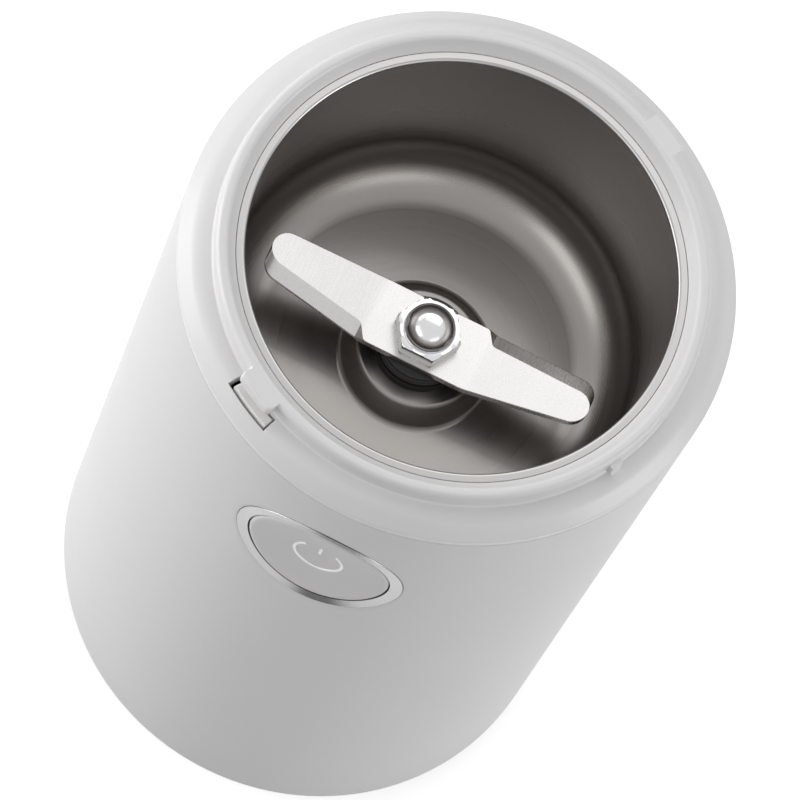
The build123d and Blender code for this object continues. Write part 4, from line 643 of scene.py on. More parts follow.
cone_top = BOWL_FLOOR + HUB_CONE_HEIGHT
bowl_outline = rounded([
    (SEAL_BORE, cone_top, 0),
    (HUB_CONE_TOP, cone_top, HUB_CONE_EDGE),
    (HUB_CONE_FOOT, BOWL_FLOOR, HUB_CONE_ROOT),
    (BOWL_RADIUS, BOWL_FLOOR, BOWL_CORNER),
    (BOWL_RADIUS, rim_top, RIM_ROLL),
    (RIM_RADIUS, rim_top, RIM_EDGE),
    (RIM_RADIUS, rim_top - RIM_THICKNESS, 0.1),
    (BOWL_RADIUS + BOWL_WALL, rim_top - RIM_THICKNESS, 0.1),
    (BOWL_RADIUS + BOWL_WALL, BOWL_FLOOR - BOWL_WALL, BOWL_CORNER + BOWL_WALL),
    (HUB_CONE_FOOT - BOWL_WALL / 4, BOWL_FLOOR - BOWL_WALL, HUB_CONE_ROOT),
    (HUB_CONE_TOP - BOWL_WALL / 4, cone_top - BOWL_WALL, HUB_CONE_EDGE),
    (SEAL_BORE, cone_top - BOWL_WALL, 0),
], steps=14)


def spun(name, colour, roughness, lines=3200, depth=0.002, painted_highlight=None):
    """Steel polished in the lathe: fine lines round Z that change its gloss, and faint smears of tone.

    The last argument is a height and the brighter colour above it: a painted highlight over the rim's top.
    """
    finish = Finish(name, Metallic=1.0)
    x, y, z = finish.node("ShaderNodeSeparateXYZ", {}, {0: finish.place()}).outputs
    across = (Amount(finish, x) ** 2 + Amount(finish, y) ** 2) ** 0.5
    ring = finish.node("ShaderNodeCombineXYZ", {}, {0: across, 1: Amount(finish, z)}).outputs[0]
    line = finish.noise(lines, 3, ring)
    band = finish.noise(lines / 14, 2, ring)
    smear = finish.noise(35, 3)
    darker = tuple(channel * 0.86 for channel in colour)
    tone = finish.between(line * 0.5 + smear * 0.5, darker, colour)
    if painted_highlight:
        height, highlight_colour = painted_highlight
        # Painted highlight: the colour brightens over the top of the rim.
        above = (Amount(finish, z) - height * MM) * (4 / MM)
        above = above.math("MINIMUM", above.math("MAXIMUM", above), 1.0)
        tone = finish.between(above, tone, highlight_colour)
    return finish.set(
        Base_Color=tone,
        Roughness=line * 0.12 + band * 0.08 + (roughness - 0.1),
        Normal=finish.bump(line, depth),
    )


# The steel's dark colour is painted shade of the bowl's inside, and the brighter colour over the rim's top is
# a painted highlight.
rim_painted_highlight = (rim_top - RIM_THICKNESS / 2, (0.36, 0.355, 0.35))
bowl_steel = spun("dark spun steel with painted rim highlight", (0.30, 0.283, 0.27), 0.3, painted_highlight=rim_painted_highlight)
bowl = surface("bowl_surface", [revolved(bowl_outline)])
fitted(bowl, bowl_steel, "housing", "bowl_steel", "grinding_bowl")

# Shaft seal
# Black rubber grommet in the bowl's middle hole: a lip above the steel, a lip below it and a running bore.
# It is moulded in one piece and snaps into the steel.
SEAL_LIP = 1.2
SEAL_LIP_RADIUS = 7.8
SEAL_MOUTH = 4.6
SEAL_MOUTH_DROP = 0.5
SHAFT_RADIUS = 3.0


def rubber(name, colour, roughness):
    """Black rubber: matt, faintly mottled and with a fine orange-peel skin."""
    finish = Finish(name, IOR=1.5)
    mottle = finish.noise(240, 4)
    skin = finish.noise(1800, 3)
    paler = tuple(channel * 1.5 for channel in colour)
    return finish.set(
        Base_Color=finish.between(mottle, colour, paler),
        Roughness=mottle * 0.16 + (roughness - 0.08),
        Normal=finish.bump(skin, 0.008),
    )


seal_rubber = rubber("black seal rubber", (0.018, 0.018, 0.019), 0.62)
seal_bore = SHAFT_RADIUS + SLIVER
seal_outline = rounded([
    (seal_bore, cone_top - BOWL_WALL - SEAL_LIP, 0.2),
    (SEAL_LIP_RADIUS, cone_top - BOWL_WALL - SEAL_LIP, 0.3),
    (SEAL_LIP_RADIUS, cone_top - BOWL_WALL, 0.1),
    (SEAL_BORE, cone_top - BOWL_WALL, 0.1),
    (SEAL_BORE, cone_top, 0.1),
    (SEAL_LIP_RADIUS, cone_top, 0.1),
    (SEAL_LIP_RADIUS, cone_top + SEAL_LIP, 0.4),
    (SEAL_MOUTH, cone_top + SEAL_LIP, 0.3),
    (SEAL_MOUTH - 0.6, cone_top + SEAL_LIP - SEAL_MOUTH_DROP, 0.3),
    (seal_bore, cone_top + SEAL_LIP - 0.1, 0.1),
])
seal = surface("shaft_seal_surface", [revolved(seal_outline, np.arange(-180, 181, 4))])
fitted(seal, seal_rubber, "housing", "seal_rubber", "shaft_seal")

# Blade hub
# Black moulded hub, pressed on the shaft above the seal, with a round lower edge and a groove in its side.
# The blade lies on its flat top.
HUB_RADIUS = 7.5
HUB_EDGE = 0.6
GROOVE_START = 1.4
GROOVE_WIDTH = 0.8
GROOVE_DEPTH = 0.35

black_plastic = moulded("black plastic", (0.022, 0.022, 0.024), 0.42, grain=1500, depth=0.006, fade=0.7)
hub_low, hub_high = box("blade_hub")
groove = hub_low[2] + GROOVE_START
hub_outline = rounded([
    (seal_bore, hub_low[2], 0.2),
    (HUB_RADIUS, hub_low[2], HUB_EDGE),
    (HUB_RADIUS, groove, 0.1),
    (HUB_RADIUS - GROOVE_DEPTH, groove + GROOVE_WIDTH / 4, 0.1),
    (HUB_RADIUS - GROOVE_DEPTH, groove + GROOVE_WIDTH * 3 / 4, 0.1),
    (HUB_RADIUS, groove + GROOVE_WIDTH, 0.1),
    (HUB_RADIUS, hub_high[2], 0.25),
    (seal_bore, hub_high[2], 0),
])
hub = surface("blade_hub_surface", [revolved(hub_outline, np.arange(-180, 181, 4))])
fitted(hub, black_plastic, "rotor", "black_plastic", "blade_hub")

# Blade
# Pressed from stainless strip: flat under the nut, with two wings bent up, each ground thin along the edge
# that leads. Fine streaks of the grinding run across it.
BLADE_FLAT = 18.0
BLADE_WIDTH = 12.0
BLADE_TIP_WIDTH = 8.0
BLADE_THICKNESS = 1.5
BLADE_BEVEL = 2.6
BLADE_BEVEL_DEPTH = 1.0
BLADE_TIP_RADIUS = 2.6
BLADE_EDGE = 0.12
BLADE_BEND = 0.6

blade_low, blade_high = box("blade")
half_length = blade_high[0]
blade_rise = blade_high[2] - blade_low[2] - BLADE_THICKNESS


def blade_grid():
    """Grid of the blade: stations along it, and round each station a closed section.

    At a distance x along the blade the half width falls in a line from the flat to the tip and then follows
    the tip's corner circle, and the rise is a line from the end of the flat with a soft bend. A section is a
    bar whose top corner is cut by the bevel on the side that leads: +Y where x is over 0, else -Y.
    """
    share = np.concatenate([np.linspace(0, 0.92, 60), 1 - 0.08 * (1 - np.linspace(0, 1, 14)[1:]) ** 2])
    x = np.concatenate([-share[::-1], share[1:]]) * half_length
    wing = np.clip((np.abs(x) - BLADE_FLAT / 2) / (half_length - BLADE_FLAT / 2), 0, 1)
    half = (BLADE_WIDTH + (BLADE_TIP_WIDTH - BLADE_WIDTH) * wing) / 2
    into = np.clip(np.abs(x) - half_length + BLADE_TIP_RADIUS, 0, BLADE_TIP_RADIUS)
    half = half - BLADE_TIP_RADIUS + np.sqrt(BLADE_TIP_RADIUS**2 - into**2)
    bend = np.abs(x) - BLADE_FLAT / 2
    soft = (bend + np.sqrt(bend**2 + BLADE_BEND)) / 2
    lift = blade_rise * soft / soft.max()
    top_z = np.full_like(x, BLADE_THICKNESS)
    sides = []
    for facing in (1, -1):
        ground = np.clip(wing * 12, 0, 1) * (x * facing > 0)
        bevel = np.maximum(BLADE_BEVEL * ground, BLADE_EDGE)
        shoulder_z = BLADE_THICKNESS - BLADE_BEVEL_DEPTH * ground
        y = np.stack([half - BLADE_EDGE, half, half, half - BLADE_EDGE, half - bevel])
        z = np.stack([x * 0, x * 0 + BLADE_EDGE, shoulder_z - BLADE_EDGE, shoulder_z, top_z])
        sides.append((y[::facing] * facing, z[::facing]))
    y, z = np.concatenate([*sides, (sides[0][0][:1], sides[0][1][:1])], axis=1)
    return np.stack([np.broadcast_to(x, y.shape), y, z + lift + blade_low[2]], -1).transpose(1, 0, 2)


def brushed(name, colour, roughness, stretch, scale=900, depth=0.003):
    """Metal ground along one direction: streaks that are short across it and long along it."""
    finish = Finish(name, Metallic=1.0)
    streak = finish.noise(scale, 4, finish.place(stretch))
    smear = finish.noise(90, 3)
    darker = tuple(channel * 0.8 for channel in colour)
    return finish.set(
        Base_Color=finish.between(streak * 0.6 + smear * 0.4, darker, colour),
        Roughness=streak * 0.2 + (roughness - 0.1),
        Normal=finish.bump(streak, depth),
    )


blade_steel = brushed("ground blade steel", (0.62, 0.61, 0.60), 0.28, (4, 0.25, 1))
wings = blade_grid()
blade = surface("blade_surface", [wings, *end_caps(wings)], crease=15)
fitted(blade, blade_steel, "rotor", "blade_steel", "blade")

# Blade nut
# Plated domed cap nut, turned from hexagon bar with its corners taken off round. It holds the blade down on
# the hub, screwed on the shaft's end.
NUT_ACROSS_FLATS = 10.0
NUT_HEIGHT = 3.0
NUT_DOME_RADIUS = 4.4
NUT_FILLET = 0.15
NUT_TURNED = 0.5
NUT_TURNED_IN = 0.75

nut_low, nut_high = box("blade_nut")


def nut_grid():
    """Grid of the nut. A ring's radius is the hexagon's at its azimuth, held inside the circle that the
    turned corner has at that height, and the dome above it is part of a sphere."""
    azimuth = np.arange(0, 361, 3)
    flat = NUT_ACROSS_FLATS / 2 / np.cos(np.radians((azimuth + 30) % 60 - 30))
    corner = NUT_ACROSS_FLATS / np.sqrt(3)
    turn = np.linspace(0, 1, 7)
    limits = corner - NUT_TURNED_IN * (1 - np.sqrt(1 - (1 - turn) ** 2))
    side_z = nut_low[2] + NUT_TURNED * turn
    upper_z = nut_low[2] + NUT_HEIGHT - NUT_TURNED * turn[::-1]
    dome = np.linspace(0, np.pi / 2, 15)
    dome_high = nut_high[2] - nut_low[2] - NUT_HEIGHT
    rows_r = np.concatenate([
        [0, SHAFT_RADIUS], limits, limits[::-1],
        [NUT_DOME_RADIUS + NUT_FILLET], NUT_DOME_RADIUS * np.cos(dome),
    ])
    rows_z = np.concatenate([
        [nut_low[2]] * 2, side_z, upper_z, [nut_low[2] + NUT_HEIGHT],
        nut_low[2] + NUT_HEIGHT + dome_high * np.sin(dome),
    ])
    radius = np.minimum(rows_r[:, None], flat[None])
    return turned_points(radius, azimuth[None], rows_z[:, None])


plated = spun("bright plating", (0.72, 0.72, 0.73), 0.16, lines=5200, depth=0.001)
nut = surface("blade_nut_surface", [nut_grid()], crease=24)
fitted(nut, plated, "rotor", "plated", "blade_nut")

# Button bezel
# Bright plated ring that lies in the wall's recess, bent to the wall's round, with a sleeve for the cap
# behind it. Its turned face is dished a little, and two fans of painted shade darken it above and below.
BEZEL_RADIUS = 14.83
BEZEL_OPENING = 12.75
BEZEL_SLEEVE = 14.0
BEZEL_STAND = 0.1
BEZEL_INNER_STAND = -0.22
BEZEL_SLEEVE_END = 41.02
# Where the two fans of painted shade sit on the ring, how far they lean and how wide they are.
PAINTED_SHADE_MIDDLE = 0.18
PAINTED_SHADE_LEAN = -0.04
PAINTED_SHADE_WIDTH = 0.31


def facing_front(rings, azimuths):
    """Grid of rings about the button's axis from rows of (radius, stand, level).

    A ring's point lies at its radius in the direction of the azimuth. Its depth is the wall's there plus the
    stand or, where level is over 0, that level itself.
    """
    radius, stand, level = np.array(rings)[:, :, None].transpose(1, 0, 2)
    angle = np.radians(azimuths)
    x = radius * np.sin(angle)
    z = BUTTON_HEIGHT + radius * np.cos(angle)
    wall = np.sqrt(wall_radius(z) ** 2 - x**2) + stand
    return np.stack([x, -np.where(level > 0, level, wall), z], -1)


bezel_section = rounded([
    (BEZEL_OPENING, BEZEL_INNER_STAND, 0.08),
    (BEZEL_RADIUS, BEZEL_STAND, 0.1),
    (BEZEL_RADIUS, -RECESS_DEPTH, CRISP_EDGE),
    (BEZEL_SLEEVE, -RECESS_DEPTH, CRISP_EDGE),
], closed=False)
bezel_rings = [(radius, stand, 0) for radius, stand in bezel_section]
bezel_rings += [(BEZEL_SLEEVE, 0, BEZEL_SLEEVE_END), (BEZEL_OPENING, 0, BEZEL_SLEEVE_END), bezel_rings[0]]


def turned_face(name, colour, painted_shade_colour, roughness, fan):
    """Plated ring with concentric tool marks, which tip the normal along the radius by up to the fan.

    Two fans of painted shade darken it: its colour falls to the painted shade colour as 1 / (1 + t^4),
    where t is how far the sine of the azimuth about the ring's axis is from the fans' middle.
    """
    finish = Finish(name, Metallic=1.0)
    x, y, z = finish.node("ShaderNodeSeparateXYZ", {}, {0: finish.place()}).outputs
    across = Amount(finish, x)
    up = Amount(finish, z) - BUTTON_HEIGHT * MM
    radius = (across ** 2 + up ** 2) ** 0.5
    flat = finish.node("ShaderNodeCombineXYZ", {}, {0: across / radius, 2: up / radius}).outputs[0]
    mark_place = finish.node("ShaderNodeCombineXYZ", {}, {0: radius}).outputs[0]
    mark = finish.noise(30000, 0, mark_place)
    tip = (mark - 0.5) * fan
    lean = finish.node("ShaderNodeVectorMath", {"operation": "SCALE"}, {0: flat, "Scale": tip}).outputs[0]
    normal = finish.node("ShaderNodeNewGeometry", {}, {}).outputs["Normal"]
    leaned = finish.node("ShaderNodeVectorMath", {"operation": "ADD"}, {0: normal, 1: lean}).outputs[0]
    unit = finish.node("ShaderNodeVectorMath", {"operation": "NORMALIZE"}, {0: leaned}).outputs[0]
    smear = finish.noise(160, 3)
    # Painted shade: the colour darkens in two fans, above and below on the ring.
    painted_shade_offset = (across / radius - up / radius * PAINTED_SHADE_LEAN - PAINTED_SHADE_MIDDLE) / PAINTED_SHADE_WIDTH
    return finish.set(
        Base_Color=finish.between(1 / (painted_shade_offset ** 4 + 1), colour, painted_shade_colour),
        Roughness=smear * 0.08 + (roughness - 0.04),
        Normal=unit,
    )


# The second colour is the painted shade of the two fans.
bezel_metal = turned_face("plated ring with painted shade fans", (0.47, 0.465, 0.47), (0.08, 0.078, 0.08), 0.24, 1.0)
bezel = surface("button_bezel_surface", [facing_front(bezel_rings, np.arange(0, 361, 2.5))])
fitted(bezel, bezel_metal, "housing", "bezel_metal", "button_bezel")

# Button cap
# White push button, bent like the wall around it: a shallow dish with a round edge, a skirt that slides in
# the bezel's sleeve and a leg that reaches down to the main switch. It moves with the button's own body.
CAP_RADIUS = 12.5
CAP_WALL = 1.5
CAP_EDGE = 0.45
CAP_STAND = -0.15
CAP_DIP = 1.6
CAP_SKIRT_END = 40.62
CAP_FLOOR_BACK = 42.02
CAP_DISH = 11.8
LEG_WIDTH = 10.0
LEG_BACK = 38.62
LEG_THICKNESS = 2.1
LEG_LAP = 2.5
WEB_LAP = 0.3
CAP_BROW = 0.3

cap_low = box("button_cap")[0]
dish_radius = np.linspace(0, CAP_DISH, 16)[:-1]
dish_stand = CAP_STAND - CAP_DIP * (1 - (dish_radius / CAP_DISH) ** 2)
cap_edge = rounded([
    (CAP_DISH, CAP_STAND, CAP_BROW),
    (CAP_RADIUS, CAP_STAND, CAP_EDGE),
    (CAP_RADIUS, CAP_STAND - 2 * CAP_EDGE, 0),
], closed=False)
cap_rings = [(radius, stand, 0) for radius, stand in zip(dish_radius, dish_stand)]
cap_rings += [(radius, stand, 0) for radius, stand in cap_edge]
cap_back = rounded([
    (CAP_RADIUS, CAP_SKIRT_END + 1, 0),
    (CAP_RADIUS, CAP_SKIRT_END, 0.2),
    (CAP_RADIUS - CAP_WALL, CAP_SKIRT_END, 0.1),
    (CAP_RADIUS - CAP_WALL, CAP_FLOOR_BACK, 0.2),
    (0, CAP_FLOOR_BACK, 0),
], closed=False)
cap_rings += [(radius, 0, level) for radius, level in cap_back]


def bar(low, high, edge=0.2):
    """Grid of a box between two corners with round upright edges, closed above and below by its middle."""
    (x0, y0, z0), (x1, y1, z1) = low, high
    plan = rounded([(x0, y0, edge), (x1, y0, edge), (x1, y1, edge), (x0, y1, edge)], steps=3)
    middle = np.array([(x0 + x1) / 2, (y0 + y1) / 2])
    rings = []
    for share, z in ((0.0, z0), (1.0, z0), (1.0, z1), (0.0, z1)):
        rings.append(np.column_stack([middle + (plan - middle) * share, plan[:, 0] * 0 + z]))
    return np.stack(rings)


leg_head = BUTTON_HEIGHT - CAP_RADIUS + LEG_LAP
leg_root = BUTTON_HEIGHT - CAP_RADIUS + CAP_WALL
leg = bar((-LEG_WIDTH / 2, -LEG_BACK - LEG_THICKNESS, cap_low[2]), (LEG_WIDTH / 2, -LEG_BACK, leg_head))
leg_web = bar((-LEG_WIDTH / 2, -CAP_FLOOR_BACK - WEB_LAP, leg_root), (LEG_WIDTH / 2, -LEG_BACK, leg_head))
cap = surface("button_cap_surface", [facing_front(cap_rings, np.arange(0, 361, 3.0)), leg, leg_web])
cap_plastic = moulded("matt white cap plastic", (0.81, 0.795, 0.80), 0.5, Specular_IOR_Level=0.2)
fitted(cap, cap_plastic, "button", "white_plastic", "button_cap")

# Power symbol
# A broken circle and a tick of bright foil, stamped hot into the middle of the cap. The foil follows the
# cap's dish and lies a hair over it.
SYMBOL_RADIUS = 4.25
SYMBOL_STROKE = 0.6
SYMBOL_GAP = 76.0
TICK_LOW = 1.5
TICK_HIGH = 4.7
SYMBOL_STAND = 0.08
SYMBOL_ROOT = 0.3
SYMBOL_EDGE = 0.06

symbol_section = rounded([
    (-SYMBOL_STROKE / 2, -SYMBOL_ROOT, 0),
    (SYMBOL_STROKE / 2, -SYMBOL_ROOT, 0),
    (SYMBOL_STROKE / 2, SYMBOL_STAND, SYMBOL_EDGE),
    (-SYMBOL_STROKE / 2, SYMBOL_STAND, SYMBOL_EDGE),
], steps=3)


def stamped(x, z, stand):
    """Points in the dish of the cap at x and z from its middle: the cap's own face there plus a stand."""
    x, z, stand = np.broadcast_arrays(x, z, stand)
    height = BUTTON_HEIGHT + z
    dish = CAP_STAND - CAP_DIP * (1 - (x**2 + z**2) / CAP_DISH**2)
    return np.stack([x, -np.sqrt(wall_radius(height) ** 2 - x**2) - dish - stand, height], -1)


sweep = np.radians(np.linspace(SYMBOL_GAP / 2, 360 - SYMBOL_GAP / 2, 72))[:, None]
reach = SYMBOL_RADIUS + symbol_section[:, 0]
circle_grid = stamped(reach * np.sin(sweep), reach * np.cos(sweep), symbol_section[:, 1])
tick_height = np.linspace(TICK_LOW, TICK_HIGH, 9)[:, None]
tick_grid = stamped(symbol_section[:, 0], tick_height, symbol_section[:, 1])
foil = brushed("bright foil", (0.67, 0.67, 0.68), 0.35, (1, 1, 1), scale=1400, depth=0.001)
symbol = surface("power_symbol_surface", [
    circle_grid, *end_caps(circle_grid),
    tick_grid, *end_caps(tick_grid),
])
fitted(symbol, foil, "button", "foil", "power_symbol")

# Rubber feet
# Four soft pads of black rubber, with a round lower edge and a shallow dimple. They are pressed into pockets
# of the base cover.
FOOT_RADIUS = 5.0
FOOT_RING = 34.5
DIMPLE_RADIUS = 3.2
DIMPLE_DEPTH = 0.25

feet_low, feet_high = box("rubber_feet")
foot_outline = rounded([
    (0, feet_high[2], 0),
    (FOOT_RADIUS, feet_high[2], 0.1),
    (FOOT_RADIUS, feet_low[2], 0.5),
    (DIMPLE_RADIUS, feet_low[2], 0.2),
    (DIMPLE_RADIUS - 0.4, feet_low[2] + DIMPLE_DEPTH, 0.2),
    (0, feet_low[2] + DIMPLE_DEPTH, 0),
], closed=False)
foot_rubber = rubber("soft foot rubber", (0.03, 0.03, 0.031), 0.72)
foot_places = turned_points(FOOT_RING, np.arange(0, 360, 90), 0)
foot_grid = revolved(foot_outline, np.arange(0, 361, 5))
feet = surface("rubber_feet_surface", [foot_grid + place for place in foot_places])
fitted(feet, foot_rubber, "housing", "foot_rubber", "rubber_feet")

# Cord inlet
# Soft black grommet in the rear wall, moulded with two flanges that grip the wall, and with its bore open for
# the mains lead.
INLET_BORE = 3.4
INLET_NECK = 5.4
INLET_FLANGE = 7.2
INLET_GRIP = 1.6

inlet_low, inlet_high = box("cord_inlet")
inlet_rows = rounded([
    (INLET_BORE, inlet_low[1], 0.3),
    (INLET_FLANGE, inlet_low[1], 0.3),
    (INLET_FLANGE, inlet_low[1] + INLET_GRIP, 0.2),
    (INLET_NECK, inlet_low[1] + INLET_GRIP, 0.1),
    (INLET_NECK, wall_radius(LEAD_HEIGHT), CRISP_EDGE),
    (INLET_FLANGE, wall_radius(LEAD_HEIGHT), CRISP_EDGE),
    (INLET_FLANGE, inlet_high[1], 0.6),
    (INLET_BORE, inlet_high[1], 0.5),
])
inlet_turn = np.radians(np.arange(0, 361, 4))
inlet_x = inlet_rows[:, :1] * np.sin(inlet_turn)
inlet_z = LEAD_HEIGHT + inlet_rows[:, :1] * np.cos(inlet_turn)
bent = np.sqrt(wall_radius(inlet_z) ** 2 - inlet_x**2) - wall_radius(LEAD_HEIGHT)
inlet_y = inlet_rows[:, 1:] + np.where(inlet_rows[:, 1:] > inlet_low[1] + 1.25 * INLET_GRIP, bent, 0)
inlet_y = np.minimum(inlet_y, inlet_high[1])
inlet = surface("cord_inlet_surface", [np.stack([inlet_x, inlet_y, inlet_z], -1)])
fitted(inlet, foot_rubber, "housing", "foot_rubber", "cord_inlet")

# Springs
# Wound from drawn spring wire with closed end turns: one behind the cap, one round the rod's stem and one
# behind each carbon brush.
SPRING_CLOSED = 0.8
SPRING_PITCH = 1.1
CAP_SPRING_WIRE = 0.6
CAP_SPRING_TURNS = 2.8
ROD_SPRING_WIRE = 0.75
ROD_SPRING_TURNS = 8
BRUSH_SPRING_WIRE = 0.45
BRUSH_SPRING_TURNS = 7


def flecked(name, colour, roughness, scale, metal, tone=0.8, depth=0.01):
    """A plain material with flecks of tone and a fine uneven skin, metal or not."""
    finish = Finish(name, Metallic=metal)
    fleck = finish.noise(scale, 4)
    darker = tuple(channel * tone for channel in colour)
    return finish.set(
        Base_Color=finish.between(fleck, darker, colour),
        Roughness=fleck * 0.2 + (roughness - 0.1),
        Normal=finish.bump(fleck, depth),
    )


def coil(radius, wire, length, turns):
    """Grid of a wire wound on a radius about Z, from 0 up to a length.

    The wire's middle lies wire / 2 inside the radius. It rises by a little over one wire's width a turn over
    each closed end, and evenly in between.
    """
    turn = np.linspace(0, turns, round(turns * 40) + 1)[:, None]
    climb = wire * SPRING_PITCH * SPRING_CLOSED
    ends = [0, SPRING_CLOSED, turns - SPRING_CLOSED, turns]
    rise = np.interp(turn, ends, [0, climb, length - wire - climb, length - wire])
    around = np.linspace(0, 2 * np.pi, 13)
    reach = radius - wire / 2 + wire / 2 * np.cos(around)
    rise = rise + wire / 2 * (1 + np.sin(around))
    angle = 2 * np.pi * turn
    return np.stack([reach * np.cos(angle), reach * np.sin(angle), rise], -1)


spring_steel = flecked("drawn spring wire", (0.50, 0.50, 0.51), 0.3, 1200, 1.0)
low, high = box("button_spring")
length = high[1] - low[1]
turns_of_wire = coil(high[0], CAP_SPRING_WIRE, length, CAP_SPRING_TURNS)
turns_of_wire = turns_of_wire[..., [0, 2, 1]] * [1, -1, 1] + [0, high[1], BUTTON_HEIGHT]
cap_spring = surface("button_spring_coil", [turns_of_wire, *end_caps(turns_of_wire)])
fitted(cap_spring, spring_steel, "housing", "spring_steel", "button_spring")
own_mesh(cap_spring)

low, high = box("interlock_spring")
length = high[2] - low[2]
stem = (low + high) / 2 * [1, 1, 0] + low * [0, 0, 1]
turns_of_wire = coil((high[0] - low[0]) / 2, ROD_SPRING_WIRE, length, ROD_SPRING_TURNS) + stem
rod_spring = surface("interlock_spring_coil", [turns_of_wire, *end_caps(turns_of_wire)])
fitted(rod_spring, spring_steel, "housing", "spring_steel", "interlock_spring")
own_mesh(rod_spring)

low, high = box("brush_springs")
back_of_brush = box("carbon_brushes")[1][1]
turns_of_wire = coil(high[0], BRUSH_SPRING_WIRE, high[1] - back_of_brush, BRUSH_SPRING_TURNS)
pair = []
for side in (1, -1):
    placed = turns_of_wire[..., [0, 2, 1]] + [0, back_of_brush, (low[2] + high[2]) / 2]
    placed = placed * [1, side, 1]
    pair += [placed, *end_caps(placed)]
brush_pair = surface("brush_spring_coils", pair)
fitted(brush_pair, spring_steel, "housing", "spring_steel", "brush_springs")

# Pieces that keep their CAD shape
# What is inside the body and under the bowl: motor, switches, rod, clamp, board, and the base's cover.
# Each takes the finish of what it is made of.
shaft_steel = brushed("turned shaft steel", (0.55, 0.55, 0.56), 0.25, (1, 1, 12), scale=400)
screw_steel = flecked("zinc plated screw steel", (0.58, 0.59, 0.60), 0.35, 700, 1.0)
core_steel = brushed("laminated core steel", (0.30, 0.29, 0.28), 0.45, (0.3, 0.3, 30), 160, 0.03)
copper = flecked("enamelled copper", (0.62, 0.27, 0.12), 0.32, 900, 1.0, tone=0.7)
bracket_metal = flecked("cast bracket alloy", (0.55, 0.55, 0.55), 0.5, 500, 1.0, depth=0.03)
bronze = flecked("oiled sintered bronze", (0.52, 0.36, 0.19), 0.48, 2200, 1.0)
carbon = flecked("pressed carbon", (0.03, 0.03, 0.032), 0.6, 2600, 0.0)
natural_acetal = moulded("natural white acetal", (0.95, 0.94, 0.93), 0.32)
inner_plastic = moulded("grey inner plastic", (0.42, 0.43, 0.44), 0.5, grain=900, depth=0.01)
red_plastic = moulded("red switch plunger", (0.52, 0.03, 0.02), 0.4, grain=1600)
cream_plastic = moulded("cream plastic", (0.72, 0.66, 0.50), 0.45, grain=1200)
board_green = flecked("glass fibre board", (0.05, 0.20, 0.09), 0.4, 1500, 0.0)

finishes = {
    white_plastic: ["base_cover"],
    natural_acetal: ["interlock_rod"],
    inner_plastic: ["motor_chassis", "button_guide", "cord_clamp"],
    black_plastic: ["main_switch", "interlock_switch", "cooling_fan", "brush_holders"],
    red_plastic: ["main_switch_plunger", "interlock_switch_plunger"],
    cream_plastic: ["terminal_block", "suppression_capacitor", "thermal_fuse"],
    board_green: ["circuit_board"],
    shaft_steel: ["motor_shaft", "thrust_washers"],
    screw_steel: ["base_screws", "chassis_screws", "switch_screws", "motor_screws", "motor_mount_screws",
                  "cord_clamp_screws"],
    core_steel: ["stator_core", "rotor_core"],
    copper: ["field_coils", "rotor_windings", "commutator"],
    bracket_metal: ["upper_motor_bracket", "lower_motor_bracket"],
    bronze: ["upper_bush", "lower_bush"],
    carbon: ["carbon_brushes"],
    seal_rubber: ["bowl_seal", "motor_dampers"],
}
for finish, names in finishes.items():
    for name in names:
        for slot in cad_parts[name].material_slots:
            slot.material = finish.material

# Floor and light
# A pale floor in a plain studio: soft lamps on both sides and behind, low and high, and a faint sky. Camera,
# glossy and clear rays see floor and sky white.
FLOOR_REACH = 6000.0
FLOOR_GLOW = 0.7
SKY = 0.16
LOOK_HEIGHT = 80.0

floor_points = np.array([[(-1, -1, 0), (1, -1, 0)], [(-1, 1, 0), (1, 1, 0)]]) * FLOOR_REACH
floor = surface("floor", [floor_points])
floor_finish = Finish("pale floor", Roughness=0.9)
floor_tone = floor_finish.noise(6, 2)
floor_finish.set(Base_Color=floor_finish.between(floor_tone, (0.56, 0.56, 0.56), (0.6, 0.6, 0.6)))
paths = floor_finish.node("ShaderNodeLightPath", {}, {}).outputs
seen = Amount(floor_finish, paths["Is Camera Ray"]) + Amount(floor_finish, paths["Is Glossy Ray"])
seen = seen + Amount(floor_finish, paths["Is Transmission Ray"])
floor_finish.shader.inputs["Emission Color"].default_value = (1, 1, 1, 1)
floor_finish.feed(floor_finish.shader.inputs["Emission Strength"], seen * FLOOR_GLOW)
floor.data.materials.append(floor_finish.material)

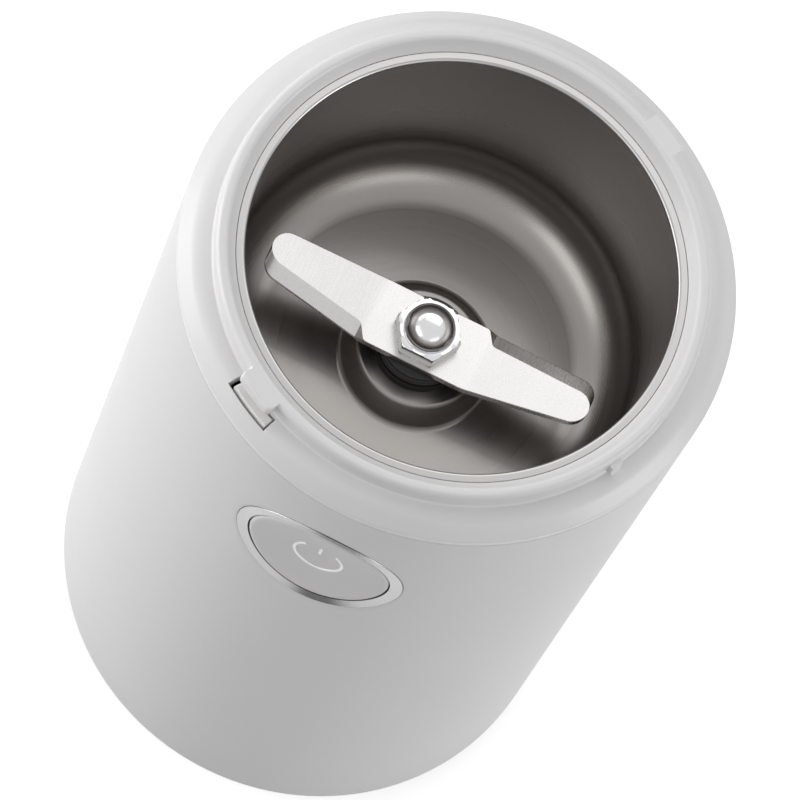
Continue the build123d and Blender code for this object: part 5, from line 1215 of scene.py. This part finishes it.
world = bpy.data.worlds.new("studio")
world.use_nodes = True
bpy.context.scene.world = world
links = world.node_tree.links
nodes = world.node_tree.nodes
sky = nodes["Background"]
sky.inputs["Color"].default_value = (1, 1, 1, 1)
sky.inputs["Strength"].default_value = SKY
backdrop = nodes.new("ShaderNodeBackground")
backdrop.inputs["Color"].default_value = (1, 1, 1, 1)
backdrop.inputs["Strength"].default_value = 1.0
ray = nodes.new("ShaderNodeLightPath").outputs
backdrop_share = ray["Is Camera Ray"]
for kind in ("Is Glossy Ray", "Is Transmission Ray"):
    either = nodes.new("ShaderNodeMath")
    either.operation = "MAXIMUM"
    links.new(backdrop_share, either.inputs[0])
    links.new(ray[kind], either.inputs[1])
    backdrop_share = either.outputs[0]
blend = nodes.new("ShaderNodeMixShader")
links.new(backdrop_share, blend.inputs[0])
links.new(sky.outputs[0], blend.inputs[1])
links.new(backdrop.outputs[0], blend.inputs[2])
links.new(blend.outputs[0], nodes["World Output"].inputs[0])


def lamp(name, azimuth, elevation, distance, width, height, power):
    """A soft rectangular lamp that looks at the middle of the grinder from an azimuth and an elevation."""
    data = bpy.data.lights.new(name, "AREA")
    data.shape = "RECTANGLE"
    data.size = width * MM
    data.size_y = height * MM
    data.energy = power
    level = distance * np.cos(np.radians(elevation))
    place = turned_points(level, azimuth, LOOK_HEIGHT + distance * np.sin(np.radians(elevation)))
    light = bpy.data.objects.new(name, data)
    light.location = (place * MM).tolist()
    aim = Vector((0, 0, LOOK_HEIGHT * MM)) - light.location
    light.rotation_euler = aim.to_track_quat("-Z", "Y").to_euler()
    bpy.context.scene.collection.objects.link(light)


lamp("left softbox", -85, 15, 1100, 700, 700, 6.2)
lamp("high left softbox", -50, 40, 1100, 700, 700, 2.1)
lamp("right softbox", 85, 20, 1300, 700, 600, 5.4)
lamp("high right softbox", 50, 40, 1300, 700, 600, 1.1)
lamp("rear softbox", 180, 50, 1300, 1000, 800, 4.2)
lamp("rear left softbox", -130, 35, 1300, 800, 700, 2.3)

bpy.context.scene.view_settings.view_transform = "Standard"
